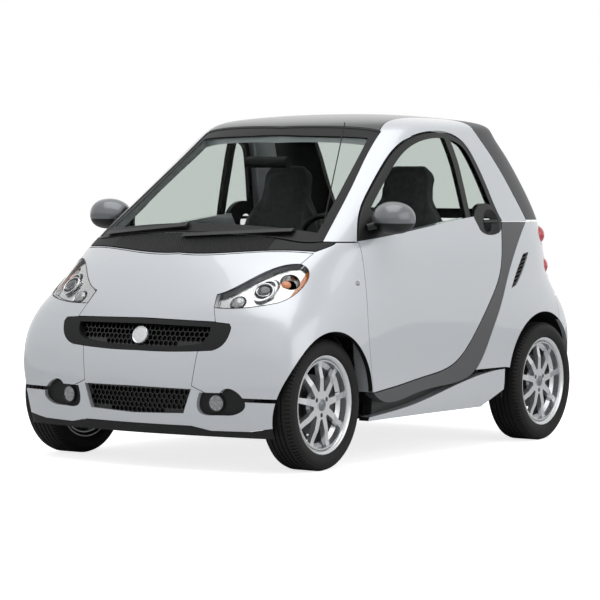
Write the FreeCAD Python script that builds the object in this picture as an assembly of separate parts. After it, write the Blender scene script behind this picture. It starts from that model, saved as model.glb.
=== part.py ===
import FreeCAD, Part
import math
import os

Vector = FreeCAD.Vector
os.makedirs("parts", exist_ok=True)

# A two-seat city car, in millimetres. +Z is up, the front faces -Y and the car's left side is +X.
# The origin lies on the ground under the middle of the body's length.

# Main sizes
wheelbase = 1867.0
front_overhang = 415.0
rear_overhang = 413.0
overall_width = 1559.0
body_height = 1575.0
front_track = 1283.0
rear_track = 1385.0
shut_gap = 5.5
panel_gap = 3.0
trim_gap = 3.0
seat_gap = 0.3
overrun = 60.0

# Panel depths, measured in from the painted surface
skin_depth = 22.0
cell_depth = 48.0
frame_gap = 10.0
frame_width = 24.0
glass_depth = 5.0
glass_bed = 10.0
flange_width = 32.0

# Wheels and tyres
front_tyre_radius = 283.5
rear_tyre_radius = 286.75
front_tyre_width = 163.0
rear_tyre_width = 175.0
rim_radius = 211.0
rim_seat_radius = 193.0
rim_well_radius = 174.0
rim_flange_width = 7.0
rim_seat_width = 30.0
rim_wall = 6.0
hub_radius = 62.0
spindle_radius = 20.0
running_gap = 0.05
disc_radius = 128.0
disc_thickness = 12.0
spoke_count = 9
front_arch_radius = 316.0
rear_arch_radius = 340.0
liner_gap = 7.0
liner_wall = 9.0

half_width = overall_width / 2
front_axle_z = front_tyre_radius
rear_axle_z = rear_tyre_radius
front_axle_y = front_overhang - (wheelbase + front_overhang + rear_overhang) / 2
rear_axle_y = front_axle_y + wheelbase
origin = Vector(0, 0, 0)
x_axis = Vector(1, 0, 0)
y_axis = Vector(0, 1, 0)
z_axis = Vector(0, 0, 1)


def along(share):
    # -1 is the nose, 0 the front axle, 1 the rear axle and 2 the tail
    if share < 0:
        return front_axle_y + share * front_overhang
    if share <= 1:
        return front_axle_y + share * wheelbase
    return rear_axle_y + (share - 1) * rear_overhang


def across(share):
    return share * half_width


def above(share):
    return share * body_height


# The body's form, one row a height: height, front, rear and half-width shares, the corner powers of
# the plan at the front and rear, the swell over the front and rear wheels, and the plan's sweep.
form_shares = [
    (0.092, -0.938, 1.885, 0.940, 12.0, 11.0, 0.000, 0.004, 0.15, 0.05),
    (0.152, -0.983, 1.971, 0.965, 13.0, 12.0, 0.006, 0.014, 0.15, 0.05),
    (0.203, -0.993, 2.000, 0.971, 14.0, 13.0, 0.012, 0.028, 0.15, 0.05),
    (0.273, -0.983, 2.000, 0.971, 14.0, 15.0, 0.016, 0.030, 0.15, 0.05),
    (0.337, -0.945, 1.995, 0.969, 13.0, 15.0, 0.014, 0.032, 0.13, 0.05),
    (0.406, -0.843, 1.937, 0.965, 9.0, 12.0, 0.010, 0.028, 0.09, 0.05),
    (0.457, -0.704, 1.850, 0.961, 6.2, 9.0, 0.006, 0.018, 0.03, 0.05),
    (0.508, -0.535, 1.806, 0.956, 5.2, 7.0, 0.003, 0.010, 0.03, 0.05),
    (0.559, -0.342, 1.777, 0.951, 5.0, 6.6, 0.000, 0.004, 0.06, 0.05),
    (0.610, -0.111, 1.738, 0.943, 5.4, 6.6, 0.000, 0.000, 0.15, 0.05),
    (0.660, 0.031, 1.676, 0.930, 5.2, 6.8, 0.000, 0.000, 0.19, 0.05),
    (0.724, 0.106, 1.545, 0.904, 4.8, 6.8, 0.000, 0.000, 0.20, 0.05),
    (0.800, 0.197, 1.334, 0.869, 4.5, 6.6, 0.000, 0.000, 0.20, 0.05),
    (0.876, 0.288, 1.080, 0.830, 4.2, 6.6, 0.000, 0.000, 0.20, 0.05),
    (0.924, 0.345, 0.974, 0.792, 4.0, 6.6, 0.000, 0.000, 0.20, 0.05),
    (0.946, 0.373, 0.965, 0.776, 3.8, 6.4, 0.000, 0.000, 0.19, 0.05),
    (0.959, 0.395, 0.966, 0.757, 3.7, 6.0, 0.000, 0.000, 0.18, 0.05),
    (0.968, 0.424, 0.965, 0.728, 3.6, 5.4, 0.000, 0.000, 0.16, 0.05),
    (0.9745, 0.452, 0.960, 0.690, 3.4, 4.8, 0.000, 0.000, 0.14, 0.05),
    (0.980, 0.481, 0.946, 0.640, 3.2, 4.2, 0.000, 0.000, 0.12, 0.05),
    (0.987, 0.529, 0.912, 0.535, 2.9, 3.4, 0.000, 0.000, 0.08, 0.03),
    (0.9935, 0.588, 0.872, 0.405, 2.5, 2.8, 0.000, 0.000, 0.04, 0.02),
    (0.9975, 0.645, 0.830, 0.265, 2.2, 2.3, 0.000, 0.000, 0.00, 0.00),
    (1.000, 0.710, 0.770, 0.090, 2.0, 2.0, 0.000, 0.000, 0.00, 0.00),
]
swell_reach_share = 0.185
waist_share = 0.012
waist_place_share = 0.455
waist_reach_share = 0.225
sweep_start_share = 0.192
sweep_power = 4
station_run = 190.0
station_turn = 0.30
station_height_share = 0.273
half_stations = 32
samples = 1600
fewest_points = 5
point_run = 30.0
shortest_edge = 0.3
form_step = 0.5
fine_below_share = 0.62


def form_at(height):
    # smooth values of every column of the form between its rows
    rows = form_shares
    share = height / body_height
    last = len(rows) - 1
    index = max([0] + [i for i in range(last) if rows[i][0] <= share])
    low, high = rows[index], rows[index + 1]
    span = high[0] - low[0]
    t = (share - low[0]) / span

    def slope(i, column):
        if i <= 0:
            return (rows[1][column] - rows[0][column]) / (rows[1][0] - rows[0][0])
        if i >= last:
            return (rows[last][column] - rows[last - 1][column]) / (rows[last][0] - rows[last - 1][0])
        before = (rows[i][column] - rows[i - 1][column]) / (rows[i][0] - rows[i - 1][0])
        after = (rows[i + 1][column] - rows[i][column]) / (rows[i + 1][0] - rows[i][0])
        if before * after <= 0:
            return 0.0
        return 2 * before * after / (before + after)

    values = []
    for column in range(1, len(low)):
        start, end = low[column], high[column]
        enter = slope(index, column) * span
        leave = slope(index + 1, column) * span
        if t < 0:
            values.append(start + enter * t)
        elif t > 1:
            values.append(end + leave * (t - 1))
        else:
            values.append((2 * t**3 - 3 * t**2 + 1) * start + (t**3 - 2 * t**2 + t) * enter
                          + (3 * t**2 - 2 * t**3) * end + (t**3 - t**2) * leave)
    return values


def form_point(height, angle):
    # a point of the painted surface, by its height and its bearing from the middle of the plan
    values = form_at(height)
    front, rear, side = along(values[0]), along(values[1]), across(values[2])
    power_front, power_rear, swell_front, swell_rear, sweep_front, sweep_rear = values[3:]
    middle = (front + rear) / 2
    half = (rear - front) / 2
    start = across(sweep_start_share)
    reach = wheelbase * swell_reach_share
    s, c = math.sin(angle), math.cos(angle)
    power = power_front if c > 0 else power_rear
    radius = (abs(c / half)**power + abs(s / side)**power)**(-1 / power)
    x = radius * s
    y = middle - radius * c
    sweep = sweep_front if c > 0 else -sweep_rear
    y += sweep * (math.sqrt(x * x + start * start) - start) * (abs(middle - y) / half)**sweep_power
    swell = 1 + swell_front * math.exp(-((y - front_axle_y) / reach)**2)
    swell += swell_rear * math.exp(-((y - rear_axle_y) / reach)**2)
    waist = (y - along(waist_place_share)) / (wheelbase * waist_reach_share)
    swell -= waist_share * math.exp(-waist * waist)
    return Vector(x * swell, y, height)


def bearings():
    # bearings for the columns of the surface, closer together round the corners of the plan
    height = above(station_height_share)
    points = [form_point(height, math.pi * i / samples) for i in range(samples + 1)]
    steps = [points[i + 1] - points[i] for i in range(samples)]
    weights = [0.0]
    for i in range(samples):
        turn = steps[i].getAngle(steps[i - 1]) if i > 0 else 0.0
        weights.append(weights[-1] + steps[i].Length / station_run + turn / station_turn)
    found = []
    index = 0
    for k in range(half_stations + 1):
        goal = weights[-1] * k / half_stations
        while index < samples and weights[index] < goal:
            index += 1
        found.append(math.pi * index / samples)
    found[-1] = math.pi
    return found + [-angle for angle in reversed(found[1:-1])]


def sunk_point(height, angle, depth, level):
    # a point of the surface moved in along its normal
    point = form_point(height, angle)
    if depth == 0:
        return point
    round_way = form_point(height, angle + small_turn) - form_point(height, angle - small_turn)
    high = min(height + form_step, body_height)
    up_way = form_point(high, angle) - form_point(height - form_step, angle)
    normal = round_way.cross(up_way)
    if level:
        normal.z = 0
    normal.normalize()
    return point - normal * depth


def pole_row(share, depth):
    height = above(share)
    if share == form_shares[-1][0]:
        points = [form_point(height, angle) for angle in station_bearings]
        return [Vector(point.x, point.y, height - depth) for point in points]
    level = share == form_shares[0][0]
    points = [sunk_point(height, angle, depth, level) for angle in station_bearings]
    if level:
        points = [Vector(point.x, point.y, height + depth / 4) for point in points]
    return points


def row_shares():
    found = [form_shares[0][0]]
    for row in form_shares[1:]:
        if row[0] < fine_below_share:
            found.append((found[-1] + row[0]) / 2)
        found.append(row[0])
    return found


small_turn = 0.002
cubic_cm = 1000.0
station_bearings = bearings()
skins = {}


def skin(depth):
    # the whole body as one solid, sunk by the depth all over
    if depth not in skins:
        rows = [pole_row(share, depth) for share in row_shares()]
        columns = [list(column) for column in zip(*rows)]
        count = len(rows)
        inner_knots = count - 3
        surface = Part.BSplineSurface()
        surface.buildFromPolesMultsKnots(
            columns,
            [1] * (len(columns) + 1),
            [4] + [1] * (inner_knots - 1) + [4],
            list(range(len(columns) + 1)),
            list(range(inner_knots + 1)),
            True, False, 3, 3)
        side = surface.toShape()
        rims = [edge for edge in side.Edges if edge.BoundBox.ZLength < form_step and edge.Length > form_step]
        lids = [Part.Face(Part.Wire([rim])) for rim in rims]
        whole = Part.makeShell([side] + lids)
        whole.sewShape()
        solid = Part.makeSolid(whole)
        solid.fix(form_step, form_step, form_step)
        skins[depth] = solid if solid.Volume > 0 else solid.reversed()
    return skins[depth]


def shell(outer, inner):
    key = (outer, inner)
    if key not in skins:
        skins[key] = Part.makeSolid(Part.makeCompound([skin(outer).Shells[0], skin(inner).Shells[0].reversed()]))
    return skins[key]


plan_base_share = 0.5
front_reach_share = 0.45
wing_reach_share = 0.2


def edges_through(stretches, place):
    # a stretch of two points is straight, a longer one is a smooth curve
    edges = []
    for stretch in stretches:
        points = [place(a, b) for a, b in stretch]
        if len(points) == 2:
            edges.append(Part.LineSegment(points[0], points[1]).toShape())
        else:
            curve = Part.BSplineCurve()
            curve.interpolate(points)
            edges.append(curve.toShape())
    return edges


def joined(stretches):
    # starts each stretch where the one before it ended
    whole = [list(stretch) for stretch in stretches]
    for i in range(1, len(whole)):
        if whole[i][0] != whole[i - 1][-1]:
            whole[i].insert(0, whole[i - 1][-1])
    return whole


def closed(stretches):
    whole = joined(stretches)
    if whole[-1][-1] != whole[0][0]:
        whole.append([whole[-1][-1], whole[0][0]])
    return whole


def corners(points):
    # straight stretches between the points
    return [[points[i], points[i + 1]] for i in range(len(points) - 1)]


def face_of(edges, grow=0.0):
    face = Part.Face(Part.Wire(Part.__sortEdges__(edges)))
    return grown(face, grow) if grow else face


def grown(face, grow):
    # the outline moved out, or in, its edges redrawn as plain curves that meet end to end
    wide = face.makeOffset2D(grow)
    wide = max(wide.Faces, key=lambda found: found.Area)
    runs = []
    for edge in wide.OuterWire.OrderedEdges:
        if edge.Length < shortest_edge:
            continue
        points = edge.discretize(Number=fewest_points + int(edge.Length / point_run))
        runs.append([points[0], points[-1]] if type(edge.Curve) is Part.Line else points)
    if min((runs[1][0] - runs[0][0]).Length, (runs[1][-1] - runs[0][0]).Length) < shortest_edge:
        runs[0].reverse()
    for i in range(1, len(runs)):
        if (runs[i][-1] - runs[i - 1][-1]).Length < (runs[i][0] - runs[i - 1][-1]).Length:
            runs[i].reverse()
        runs[i][0] = runs[i - 1][-1]
    runs[-1][-1] = runs[0][0]
    edges = []
    for points in runs:
        if len(points) == 2:
            edges.append(Part.LineSegment(points[0], points[1]).toShape())
        else:
            curve = Part.BSplineCurve()
            curve.interpolate(points)
            edges.append(curve.toShape())
    return Part.Face(Part.Wire(edges))


def side_face(stretches, grow=0.0, start=0.0):
    # an outline seen from the car's left side
    return face_of(edges_through(closed(stretches), lambda a, b: Vector(start, along(a), above(b))), grow)


def front_face(stretches, grow=0.0, sided=False, place=None):
    # an outline seen from the front: one side only, or a whole one given by its left half
    near = along(-1) - overrun if place is None else place
    left = closed(stretches) if sided else joined(stretches)
    edges = edges_through(left, lambda a, b: Vector(across(a), near, above(b)))
    if not sided:
        edges += [edge.mirror(origin, x_axis) for edge in edges]
    return face_of(edges, grow)


def plan_face(stretches, low=plan_base_share):
    # an outline seen from above, given by its left half
    edges = edges_through(joined(stretches), lambda a, b: Vector(across(a), along(b), above(low)))
    edges += [edge.mirror(origin, x_axis) for edge in edges]
    return face_of(edges)


def sideways(face):
    # through the car's left half
    return face.extrude(x_axis * (half_width + overrun - face.BoundBox.XMin))


def backwards(face, end=front_reach_share):
    return face.extrude(y_axis * (along(end) - face.BoundBox.YMin))


def upwards(face):
    return face.extrude(z_axis * body_height)


def wheel_space(place, radius, inside=0.0):
    # a round space through the body's left half, about a wheel's axis
    middle = front_axle_z if place == front_axle_y else rear_axle_z
    return Part.makeCylinder(radius, half_width + overrun - inside, Vector(inside, place, middle), x_axis)


def block(x_low, x_high, y_low, y_high, z_low, z_high):
    return Part.makeBox(x_high - x_low, y_high - y_low, z_high - z_low, Vector(x_low, y_low, z_low))


def mirrored(shape):
    return shape.mirror(origin, x_axis)


def both(shape):
    # a left piece and its mirror image
    return Part.makeCompound(shape.Solids + mirrored(shape).Solids)


def export(name, shape):
    solids = shape.Solids
    whole = solids[0] if len(solids) == 1 else Part.makeCompound(solids)
    whole.exportStep("parts/" + name + ".step")
    print(name, len(solids), "solids", whole.isValid(), round(whole.Volume / cubic_cm), "cm3")


def export_pair(name, left):
    export(name + "_left", left)
    export(name + "_right", mirrored(left))


# Outlines seen from the side, as along and above shares
door_front_shares = [(0.153, 0.620), (0.154, 0.571), (0.152, 0.483), (0.149, 0.418), (0.157, 0.300),
                     (0.172, 0.204)]
door_foot_shares = [(0.172, 0.204), (0.289, 0.217), (0.419, 0.235), (0.565, 0.270), (0.659, 0.353),
                    (0.734, 0.444), (0.787, 0.528), (0.806, 0.630), (0.814, 0.676)]
window_shares = [(0.814, 0.676), (0.798, 0.702), (0.762, 0.790), (0.733, 0.857), (0.703, 0.906),
                 (0.660, 0.929), (0.577, 0.936), (0.496, 0.922), (0.431, 0.893), (0.354, 0.835),
                 (0.265, 0.757), (0.199, 0.692), (0.153, 0.620)]
door_shares = [door_front_shares, door_foot_shares, window_shares]
belt_shares = [(0.120, 0.619), (0.268, 0.637), (0.420, 0.657), (0.536, 0.673), (0.674, 0.690), (0.860, 0.693)]
bar_shares = [(0.611, 0.960), (0.628, 0.840), (0.642, 0.660), (0.664, 0.660), (0.653, 0.841), (0.637, 0.960)]
handle_shares = [(0.679, 0.687), (0.700, 0.717), (0.767, 0.727), (0.803, 0.705), (0.813, 0.660),
                 (0.770, 0.636), (0.697, 0.658)]
sail_shares = [(0.140, 0.600), (0.290, 0.600), (0.226, 0.740), (0.140, 0.740)]
band_shares = [(0.950, 0.674), (0.884, 0.603), (0.831, 0.521), (0.782, 0.425), (0.734, 0.343),
               (0.655, 0.236), (0.535, 0.203), (0.375, 0.188), (0.219, 0.176), (0.172, 0.202)]
flare_shares = [(0.100, 0.127), (0.183, 0.136), (0.356, 0.154), (0.503, 0.184), (0.652, 0.216), (0.800, 0.232)]
sill_foot_shares = [(0.800, 0.170), (0.697, 0.124), (0.100, 0.124)]
vent_shares = [[(0.840, 0.474), (0.873, 0.524), (0.916, 0.577)], [(0.949, 0.582)], [(0.915, 0.535),
               (0.865, 0.482)]]

# Outlines seen from the front, as across and above shares
bonnet_shares = [[(0, 0.410), (0.473, 0.406)], [(0.437, 0.443)], [(0.417, 0.478)],
                 [(0.571, 0.521), (0.708, 0.559), (0.766, 0.561)], [(0.785, 0.590)],
                 [(0.653, 0.594), (0.453, 0.590), (0, 0.583)]]
cowl_front_shares = [(0, 0.5865), (0.453, 0.5935), (0.653, 0.5975), (0.789, 0.5945)]
cowl_side_shares = [(0.789, 0.5945), (0.834, 0.619), (0.786, 0.622)]
screen_foot_shares = [(0.786, 0.622), (0.739, 0.619), (0.577, 0.6265), (0.268, 0.639), (0, 0.642)]
screen_side_shares = [(0.786, 0.622), (0.743, 0.706), (0.698, 0.790), (0.659, 0.857), (0.630, 0.930),
                      (0.620, 0.990)]
frame_shares = [[(0, 0.409), (0.473, 0.405)], [(0.560, 0.402)], [(0.575, 0.392)], [(0.548, 0.350),
                (0.478, 0.330)],
                [(0.278, 0.324), (0, 0.323)]]
mesh_shares = [[(0, 0.395), (0.450, 0.392)], [(0.438, 0.361), (0.383, 0.345)], [(0.257, 0.338), (0, 0.337)]]
grille_shares = [[(0, 0.226), (0.366, 0.224)], [(0.318, 0.158)], [(0, 0.153)]]
fog_shares = [(0.418, 0.216), (0.427, 0.160), (0.536, 0.157), (0.648, 0.164), (0.692, 0.184), (0.667, 0.211),
              (0.539, 0.217)]
fog_lamp_shares = (0.508, 0.189)
lip_shares = [(0, 0.124), (0.360, 0.124), (0.480, 0.113), (0.700, 0.115), (0.885, 0.130), (1.060, 0.140)]
bumper_shares = [(0, 0.360), (0.403, 0.360), (0.368, 0.233), (0.420, 0.222), (0.560, 0.196), (1.060, 0.196)]
headlamp_shares = [[(0.437, 0.443), (0.417, 0.478)], [(0.571, 0.521), (0.708, 0.559), (0.766, 0.561)],
                   [(0.817, 0.541), (0.834, 0.507), (0.821, 0.477), (0.772, 0.458)], [(0.639, 0.446),
                   (0.437, 0.443)]]
projector_shares = (0.670, 0.491)

# Outlines seen from above, as across and along shares
header_shares = [(0, 0.381), (0.449, 0.411), (0.618, 0.428)]
roof_side_shares = [(0.618, 0.428), (0.570, 0.541), (0.560, 0.643), (0.578, 0.778)]
roof_end_share = 0.778

# Outlines seen from the rear, as across and above shares
tailgate_shares = [[(0, 0.673), (0.760, 0.673)], [(0.740, 0.470)], [(0.640, 0.447)], [(0, 0.447)]]
bumper_top_share = 0.443
rear_split_share = 1.42


# Bounds, mirrors, lamps and small trim, as across, along and above shares
whole_share = 1.1
door_inner_share = 0.8621
window_inner_share = 0.5
wing_top_share = 0.6195
tail_start_share = 0.7766
bumper_foot_share = 0.112
lip_foot_share = 0.098
cell_side_shares = [(-0.1446, 0.622), (0.5, 0.622), (0.5, 0.676), (0.958, 0.676), (0.871, 0.812),
                    (0.791, 0.928),
                    (0.778, 0.949), (0.778, 1.030), (-0.1446, 1.030)]
band_top_shares = [(0.950, 0.674), (0.500, 0.674), (0.500, 0.620), (0.153, 0.620), (0.172, 0.202)]
band_back_shares = [(0.950, 0.674), (0.950, 0.700), (0.100, 0.700), (0.100, 0.202), (0.172, 0.202)]
rear_wing_shares = [(0.600, 0.236), (0.800, 0.236), (1.000, 0.212), (rear_split_share, 0.212),
                    (rear_split_share, 0.446), (2.100, 0.446), (2.100, 0.6755), (0.952, 0.6755),
                    (0.600, 0.6755)]
wing_limit_shares = [(0, 0.199), (1.100, 0.199), (1.100, 0.6195), (0, 0.6195)]
hatch_rim_shares = [(0.778, 1.060), (0.778, 0.949), (0.791, 0.928), (0.871, 0.812), (0.9585, 0.6785),
                    (2.200, 0.6785), (2.200, 1.060)]
hatch_glass_shares = [[(0, 0.712), (0.700, 0.712)], [(0.700, 0.760), (0.690, 0.800),
                      (0.640, 0.925)], [(0, 0.940)]]
mirror_shares = [(0.8903, 0.2335, 0.6857, 0.0214, 0.0203), (0.9134, 0.2335, 0.6870, 0.0332, 0.0330),
                 (0.9622, 0.2303, 0.6883, 0.0428, 0.0432), (1.0263, 0.2282, 0.6883, 0.0461, 0.0451),
                 (1.0840, 0.2292, 0.6870, 0.0386, 0.0381), (1.1135, 0.2325, 0.6857, 0.0246, 0.0254),
                 (1.1238, 0.2346, 0.6857, 0.0107, 0.0114)]
mirror_foot_shares = (0.8852, 0.1928, 0.6603)
mirror_joint_shares = (0.9557, 0.2250, 0.6730)
tail_lamp_shares = [(0.8531, 1.3632, 0.5352, 0.30), (0.8441, 1.2978, 0.6324, 0.30)]
rear_view_low_shares = (-0.1411, 0.3214, 0.8444)
rear_view_high_shares = (0.1411, 0.3214, 0.8444)
wiper_shares = [((-0.0513, 0.6349), (0.6030, 0.6540)), ((-0.6928, 0.6349), (-0.0770, 0.6641))]
aerial_foot_shares = (0.7184, 0.1125, 0.6667)
aerial_tip_shares = (0.7569, 0.1768, 0.9524)

# Door handles, lamp domes, projectors, mesh and slats
handle_middle_shares = (0.7611, 0.6768)
handle_pod_place = 712.0
handle_dish_radius = 110.0
handle_dish_depth = 22.0
handle_bar_half = 66.0
handle_bar_radius = 8.0
dome_rise = 38.0
projector_radius = 44.0
projector_wall = 6.0
projector_front = 9.0
projector_middle_shares = (0.6697, -0.4337, 0.4914)
lamp_bowl_shares = [(0.5516, -0.6313, 0.4667, 0.0590), (0.7569, -0.2169, 0.5156, 0.0564)]
mesh_bed = skin_depth + seat_gap
mesh_depth = 36.0
mesh_overlap = 8.0
fog_lamp_bed = 14.0
mesh_pitch = 24.0
mesh_wall = 3.2
slat_count = 8
slat_width = 7.0
slat_reach = 80.0
slat_lean = 12.0

# Cabin
dash_half_share = 0.8210
dash_shares = [(0.0723, 0.5714), (0.0643, 0.6095), (0.1071, 0.6349), (0.2142, 0.6400), (0.2678, 0.6254),
               (0.2999, 0.5905),
               (0.2999, 0.5587), (0.2571, 0.4825), (0.2357, 0.4127), (0.2142, 0.4063), (0.1768, 0.4825)]
column_shares = [(0.2303, 0.4825), (0.2999, 0.5206), (0.3080, 0.5587), (0.2678, 0.5905)]
column_inner_share = 0.3656
column_outer_share = 0.5196
steering_middle_shares = (0.4426, 0.3482, 0.5905)
steering_lean_share = 0.350
steering_spoke_shares = [0.0, 1.0, 1.5]
seat_shares = [(0.3267, 0.2984), (0.3214, 0.3556), (0.3428, 0.3810), (0.4285, 0.3714), (0.5463, 0.3460),
               (0.5811, 0.3651),
               (0.6320, 0.5714), (0.6588, 0.7111), (0.6963, 0.7048), (0.6802, 0.5714), (0.6481, 0.3556),
               (0.6320, 0.2794),
               (0.5785, 0.2540), (0.4071, 0.2730)]
headrest_shares = [(0.6561, 0.7105), (0.6695, 0.8444), (0.6909, 0.8571), (0.7097, 0.8254), (0.6963, 0.7054)]
seat_width_share = 0.6158
seat_middle_share = 0.4426
seat_front_shares = [[(0, 0.2413), (0.2976, 0.2413)], [(0.3079, 0.3810), (0.3028, 0.5714),
                     (0.2630, 0.6857), (0.1873, 0.7492),
                      (0.1693, 0.8127), (0.1232, 0.8495), (0, 0.8584)]]

# Floor, liners and frame
floor_shares = [(0.0402, 0.5746), (-0.1446, 0.2730), (0.0750, 0.1270), (0.6952, 0.1270), (0.7552, 0.3810),
                (0.7606, 0.4114),
                (1.7821, 0.4114), (1.7821, 0.4190), (0.7542, 0.4190), (0.7477, 0.3873), (0.6888, 0.1359),
                (0.0793, 0.1359),
                (-0.1108, 0.2756), (0.0466, 0.5714)]
floor_half_share = 0.8980
curb_across_shares = (0.8403, 0.8980)
curb_shares = (0.2142, 0.6963, 0.1270, 0.1905)
floor_front_clear_share = 0.5260
floor_corner_shares = (-0.9639, 0.1832, 0.0000, 0.6349, 0.4965, 1.0263)
front_wall_share = 0.5183
rear_wall_share = 0.7415
front_liner_radius = 322.0
rear_liner_radius = 345.0
liner_hole_radius = 96.0
front_liner_foot_shares = (-0.9639, 0.2142, 0.0000, 0.1429)
front_liner_door_shares = (0.0803, 0.2142, 0.0000, 0.4444, 0.8403, 1.0263)
rear_liner_foot_shares = (0.7499, 1.9758, 0.0000, 0.1429)
rail_shares = [(-0.8434, 0.1498), (-0.8434, 0.2006), (0.0206, 0.2006), (0.0578, 0.1498)]
rail_across_shares = (0.3977, 0.4875)
front_beam_shares = (-0.9108, -0.8096, 0.1429, 0.2095, 0.6414)
rack_shares = (0.0075, 0.0236, 0.1537, 0.1905, 0.4811)
radiator_shares = (-0.7470, -0.6506, 0.1524, 0.3556, 0.4041)
rear_rail_shares = (0.7659, 1.8063, 0.2984, 0.3556, 0.5131, 0.6030)
rear_beam_shares = (1.7821, 1.8789, 0.2794, 0.3810, 0.6671)
engine_beam_shares = (0.7713, 0.7900, 0.3048, 0.3492, 0.5260)
engine_shares = (0.8088, 1.4915, 0.1663, 0.3810, 0.4490)
silencer_half_share = 0.4233
silencer_shares = (1.7215, 0.2095)
tailpipe_start_shares = (-0.3207, 1.7215, 0.1714)
tailpipe_end_shares = (-0.3207, 1.7821, 0.0952)

# Running gear, radii and lengths in millimetres, places measured out from a wheel's middle plane
kingpin_share = 12 / 180
kingpin_across_share = 0.7460
ball_reach = 134.0
ball_half = 8.0
ball_radius = 10.0
strut_reach = 307.0
strut_head = 24.0
strut_radius = 21.0
steering_arm = 110.0
leg_radius = 15.0
boss_gap = 0.3
boss_radius = 40.0
boss_depth = 30.0
arm_width = 44.0
arm_depth = 16.0
arm_bar_radius = 6.0
arm_inner_share = 0.4426
arm_link_share = 0.0643
carrier_start = -76.0
carrier_end = -29.0
carrier_middle = -50.0
carrier_radius = 42.0
spindle_end = 30.0
hub_start = -23.0
boss_hub_radius = 38.0
disc_face = -14.0
hat_radius = 75.0
face_start = 26.0
face_end = 56.0
caliper_reach = (-30.0, 18.0)
caliper_inner = 95.0
caliper_outer = 156.0
caliper_clear = 5.2
axle_tube_radius = 24.0
axle_tube_height_share = 0.1410
damper_share = 0.6671
damper_radius = 34.0
damper_top_share = 0.3810
rim_tuck = 14.0
rim_slope = 12.0
shoulder_drop = 16.0
tread_drop = 25.6
spoke_shares = [(0.55, 30.0, 56.0), (0.75, 28.0, 47.0), (0.90, 33.0, 49.0), (0.99, 42.0, 60.0)]
spoke_root = 17.0
spoke_waist = 12.0
spoke_tip = 15.0
lug_count = 3
lug_radius = 10.0
lug_reach = 44.0
lug_depth = 14.0
cap_radius = 26.0
cap_height = 3.0
steering_rim_radius = 178.0
steering_grip_radius = 14.0
steering_hub_radius = 62.0
steering_hub_depth = 46.0
steering_spoke_radius = 11.0
steering_shaft_radius = 22.0
steering_shaft_length = 150.0
running_gap_axial = 1.0
mirror_stem_radius = 16.0
fog_lamp_radius = 33.0
tail_lamp_radius = 50.0
tail_lamp_reach = 70.0
rear_view_radius = 26.0
silencer_radius = 80.0
tailpipe_radius = 24.0
wiper_height = 12.0
wiper_half = 7.0
aerial_radius = 2.5
full_turn = 360


def zone(y_low, y_high, z_low, z_high, x_low=0.0, x_high=whole_share):
    # a plain box given in shares
    return block(across(x_low), across(x_high), along(y_low), along(y_high), above(z_low), above(z_high))


def whole_zone(y_low, y_high, z_low, z_high, x_high=whole_share):
    return zone(y_low, y_high, z_low, z_high, -x_high, x_high)


def side_outline(points, grow=0.0):
    # a straight-edged outline seen from the side, from a list of along and above shares
    return side_face(corners(points + points[:1]), grow)


def side_slab(points, x_low, x_high, grow=0.0):
    # a straight-edged side outline drawn out between two across shares
    face = side_face(corners(points + points[:1]), grow, across(x_low))
    return face.extrude(x_axis * (across(x_high) - across(x_low)))


def wheel_ring(place, outer, inner, x_low, x_high):
    middle = front_axle_z if place == front_axle_y else rear_axle_z
    start = Vector(x_low, place, middle)
    tube = Part.makeCylinder(outer, x_high - x_low, start, x_axis)
    return tube.cut(Part.makeCylinder(inner, x_high - x_low, start, x_axis))


def rod(start, end, radius):
    run = end - start
    return Part.makeCylinder(radius, run.Length, start, run)


def place_at(x, y, z):
    return Vector(across(x), along(y), above(z))


def fused(parts):
    return parts[0].multiFuse(parts[1:]).removeSplitter()


def two_sided(face):
    # a left outline and its mirror image
    return Part.makeCompound([face, face.mirror(origin, x_axis)])


def door_faces():
    # side outlines of the painted door, its window frame and its panes
    start = across(window_inner_share)
    door = side_face(door_shares, start=start)
    clear = side_face(door_shares, -frame_width, start)
    last, first = belt_shares[-1], belt_shares[0]
    below = side_face([belt_shares, [last, (last[0], 0)], [(last[0], 0), (first[0], 0)]], start=start)
    handle = side_face([handle_shares, [handle_shares[-1], handle_shares[0]]], start=start)
    bar = side_face(corners(bar_shares), start=start)
    sail = side_face(corners(sail_shares), start=start)
    low = door.common(below).cut(handle)
    glazed = clear.cut(below).cut(handle).cut(bar).cut(sail)
    frame = door.cut(grown(low.Faces[0], seat_gap)).cut(glazed)
    return low, frame, glazed


def make_doors():
    low, frame, glazed = door_faces()
    export_pair("door", skin(0.0).common(sideways(low)).common(zone(0, 1, 0, 1, door_inner_share)))
    frame = max(frame.Faces, key=lambda face: face.Area)
    export_pair("window_frame", with_handle(shell(0.0, skin_depth).common(sideways(frame))))
    panes = [sideways(grown(face, -seat_gap)) for face in glazed.Faces]
    export_pair("side_glass", shell(glass_depth, glass_bed).common(Part.makeCompound(panes)))


def with_handle(frame):
    # a dish let into the pod behind the window, and the pull bar across it
    along_share, above_share = handle_middle_shares
    middle = Vector(handle_pod_place, along(along_share), above(above_share))
    ball = Part.makeSphere(handle_dish_radius, middle + x_axis * (handle_dish_radius - handle_dish_depth))
    bar = rod(middle - y_axis * handle_bar_half, middle + y_axis * handle_bar_half, handle_bar_radius)
    return frame.cut(ball).fuse(bar.common(skin(0.0))).removeSplitter()


def make_mirrors():
    rings = []
    for x, y, z, half_y, half_z in mirror_shares:
        middle = place_at(x, y, z)
        high = middle + z_axis * above(half_z)
        wide = middle + y_axis * wheelbase * half_y
        long_way = half_y * wheelbase > above(half_z)
        ring = Part.Ellipse(wide, high, middle) if long_way else Part.Ellipse(high, wide, middle)
        rings.append(Part.Wire([ring.toShape()]))
    foot = rod(place_at(*mirror_foot_shares), place_at(*mirror_joint_shares), mirror_stem_radius)
    export_pair("mirror", Part.makeLoft(rings, True).fuse(foot).cut(skin(0.0)))


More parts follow.
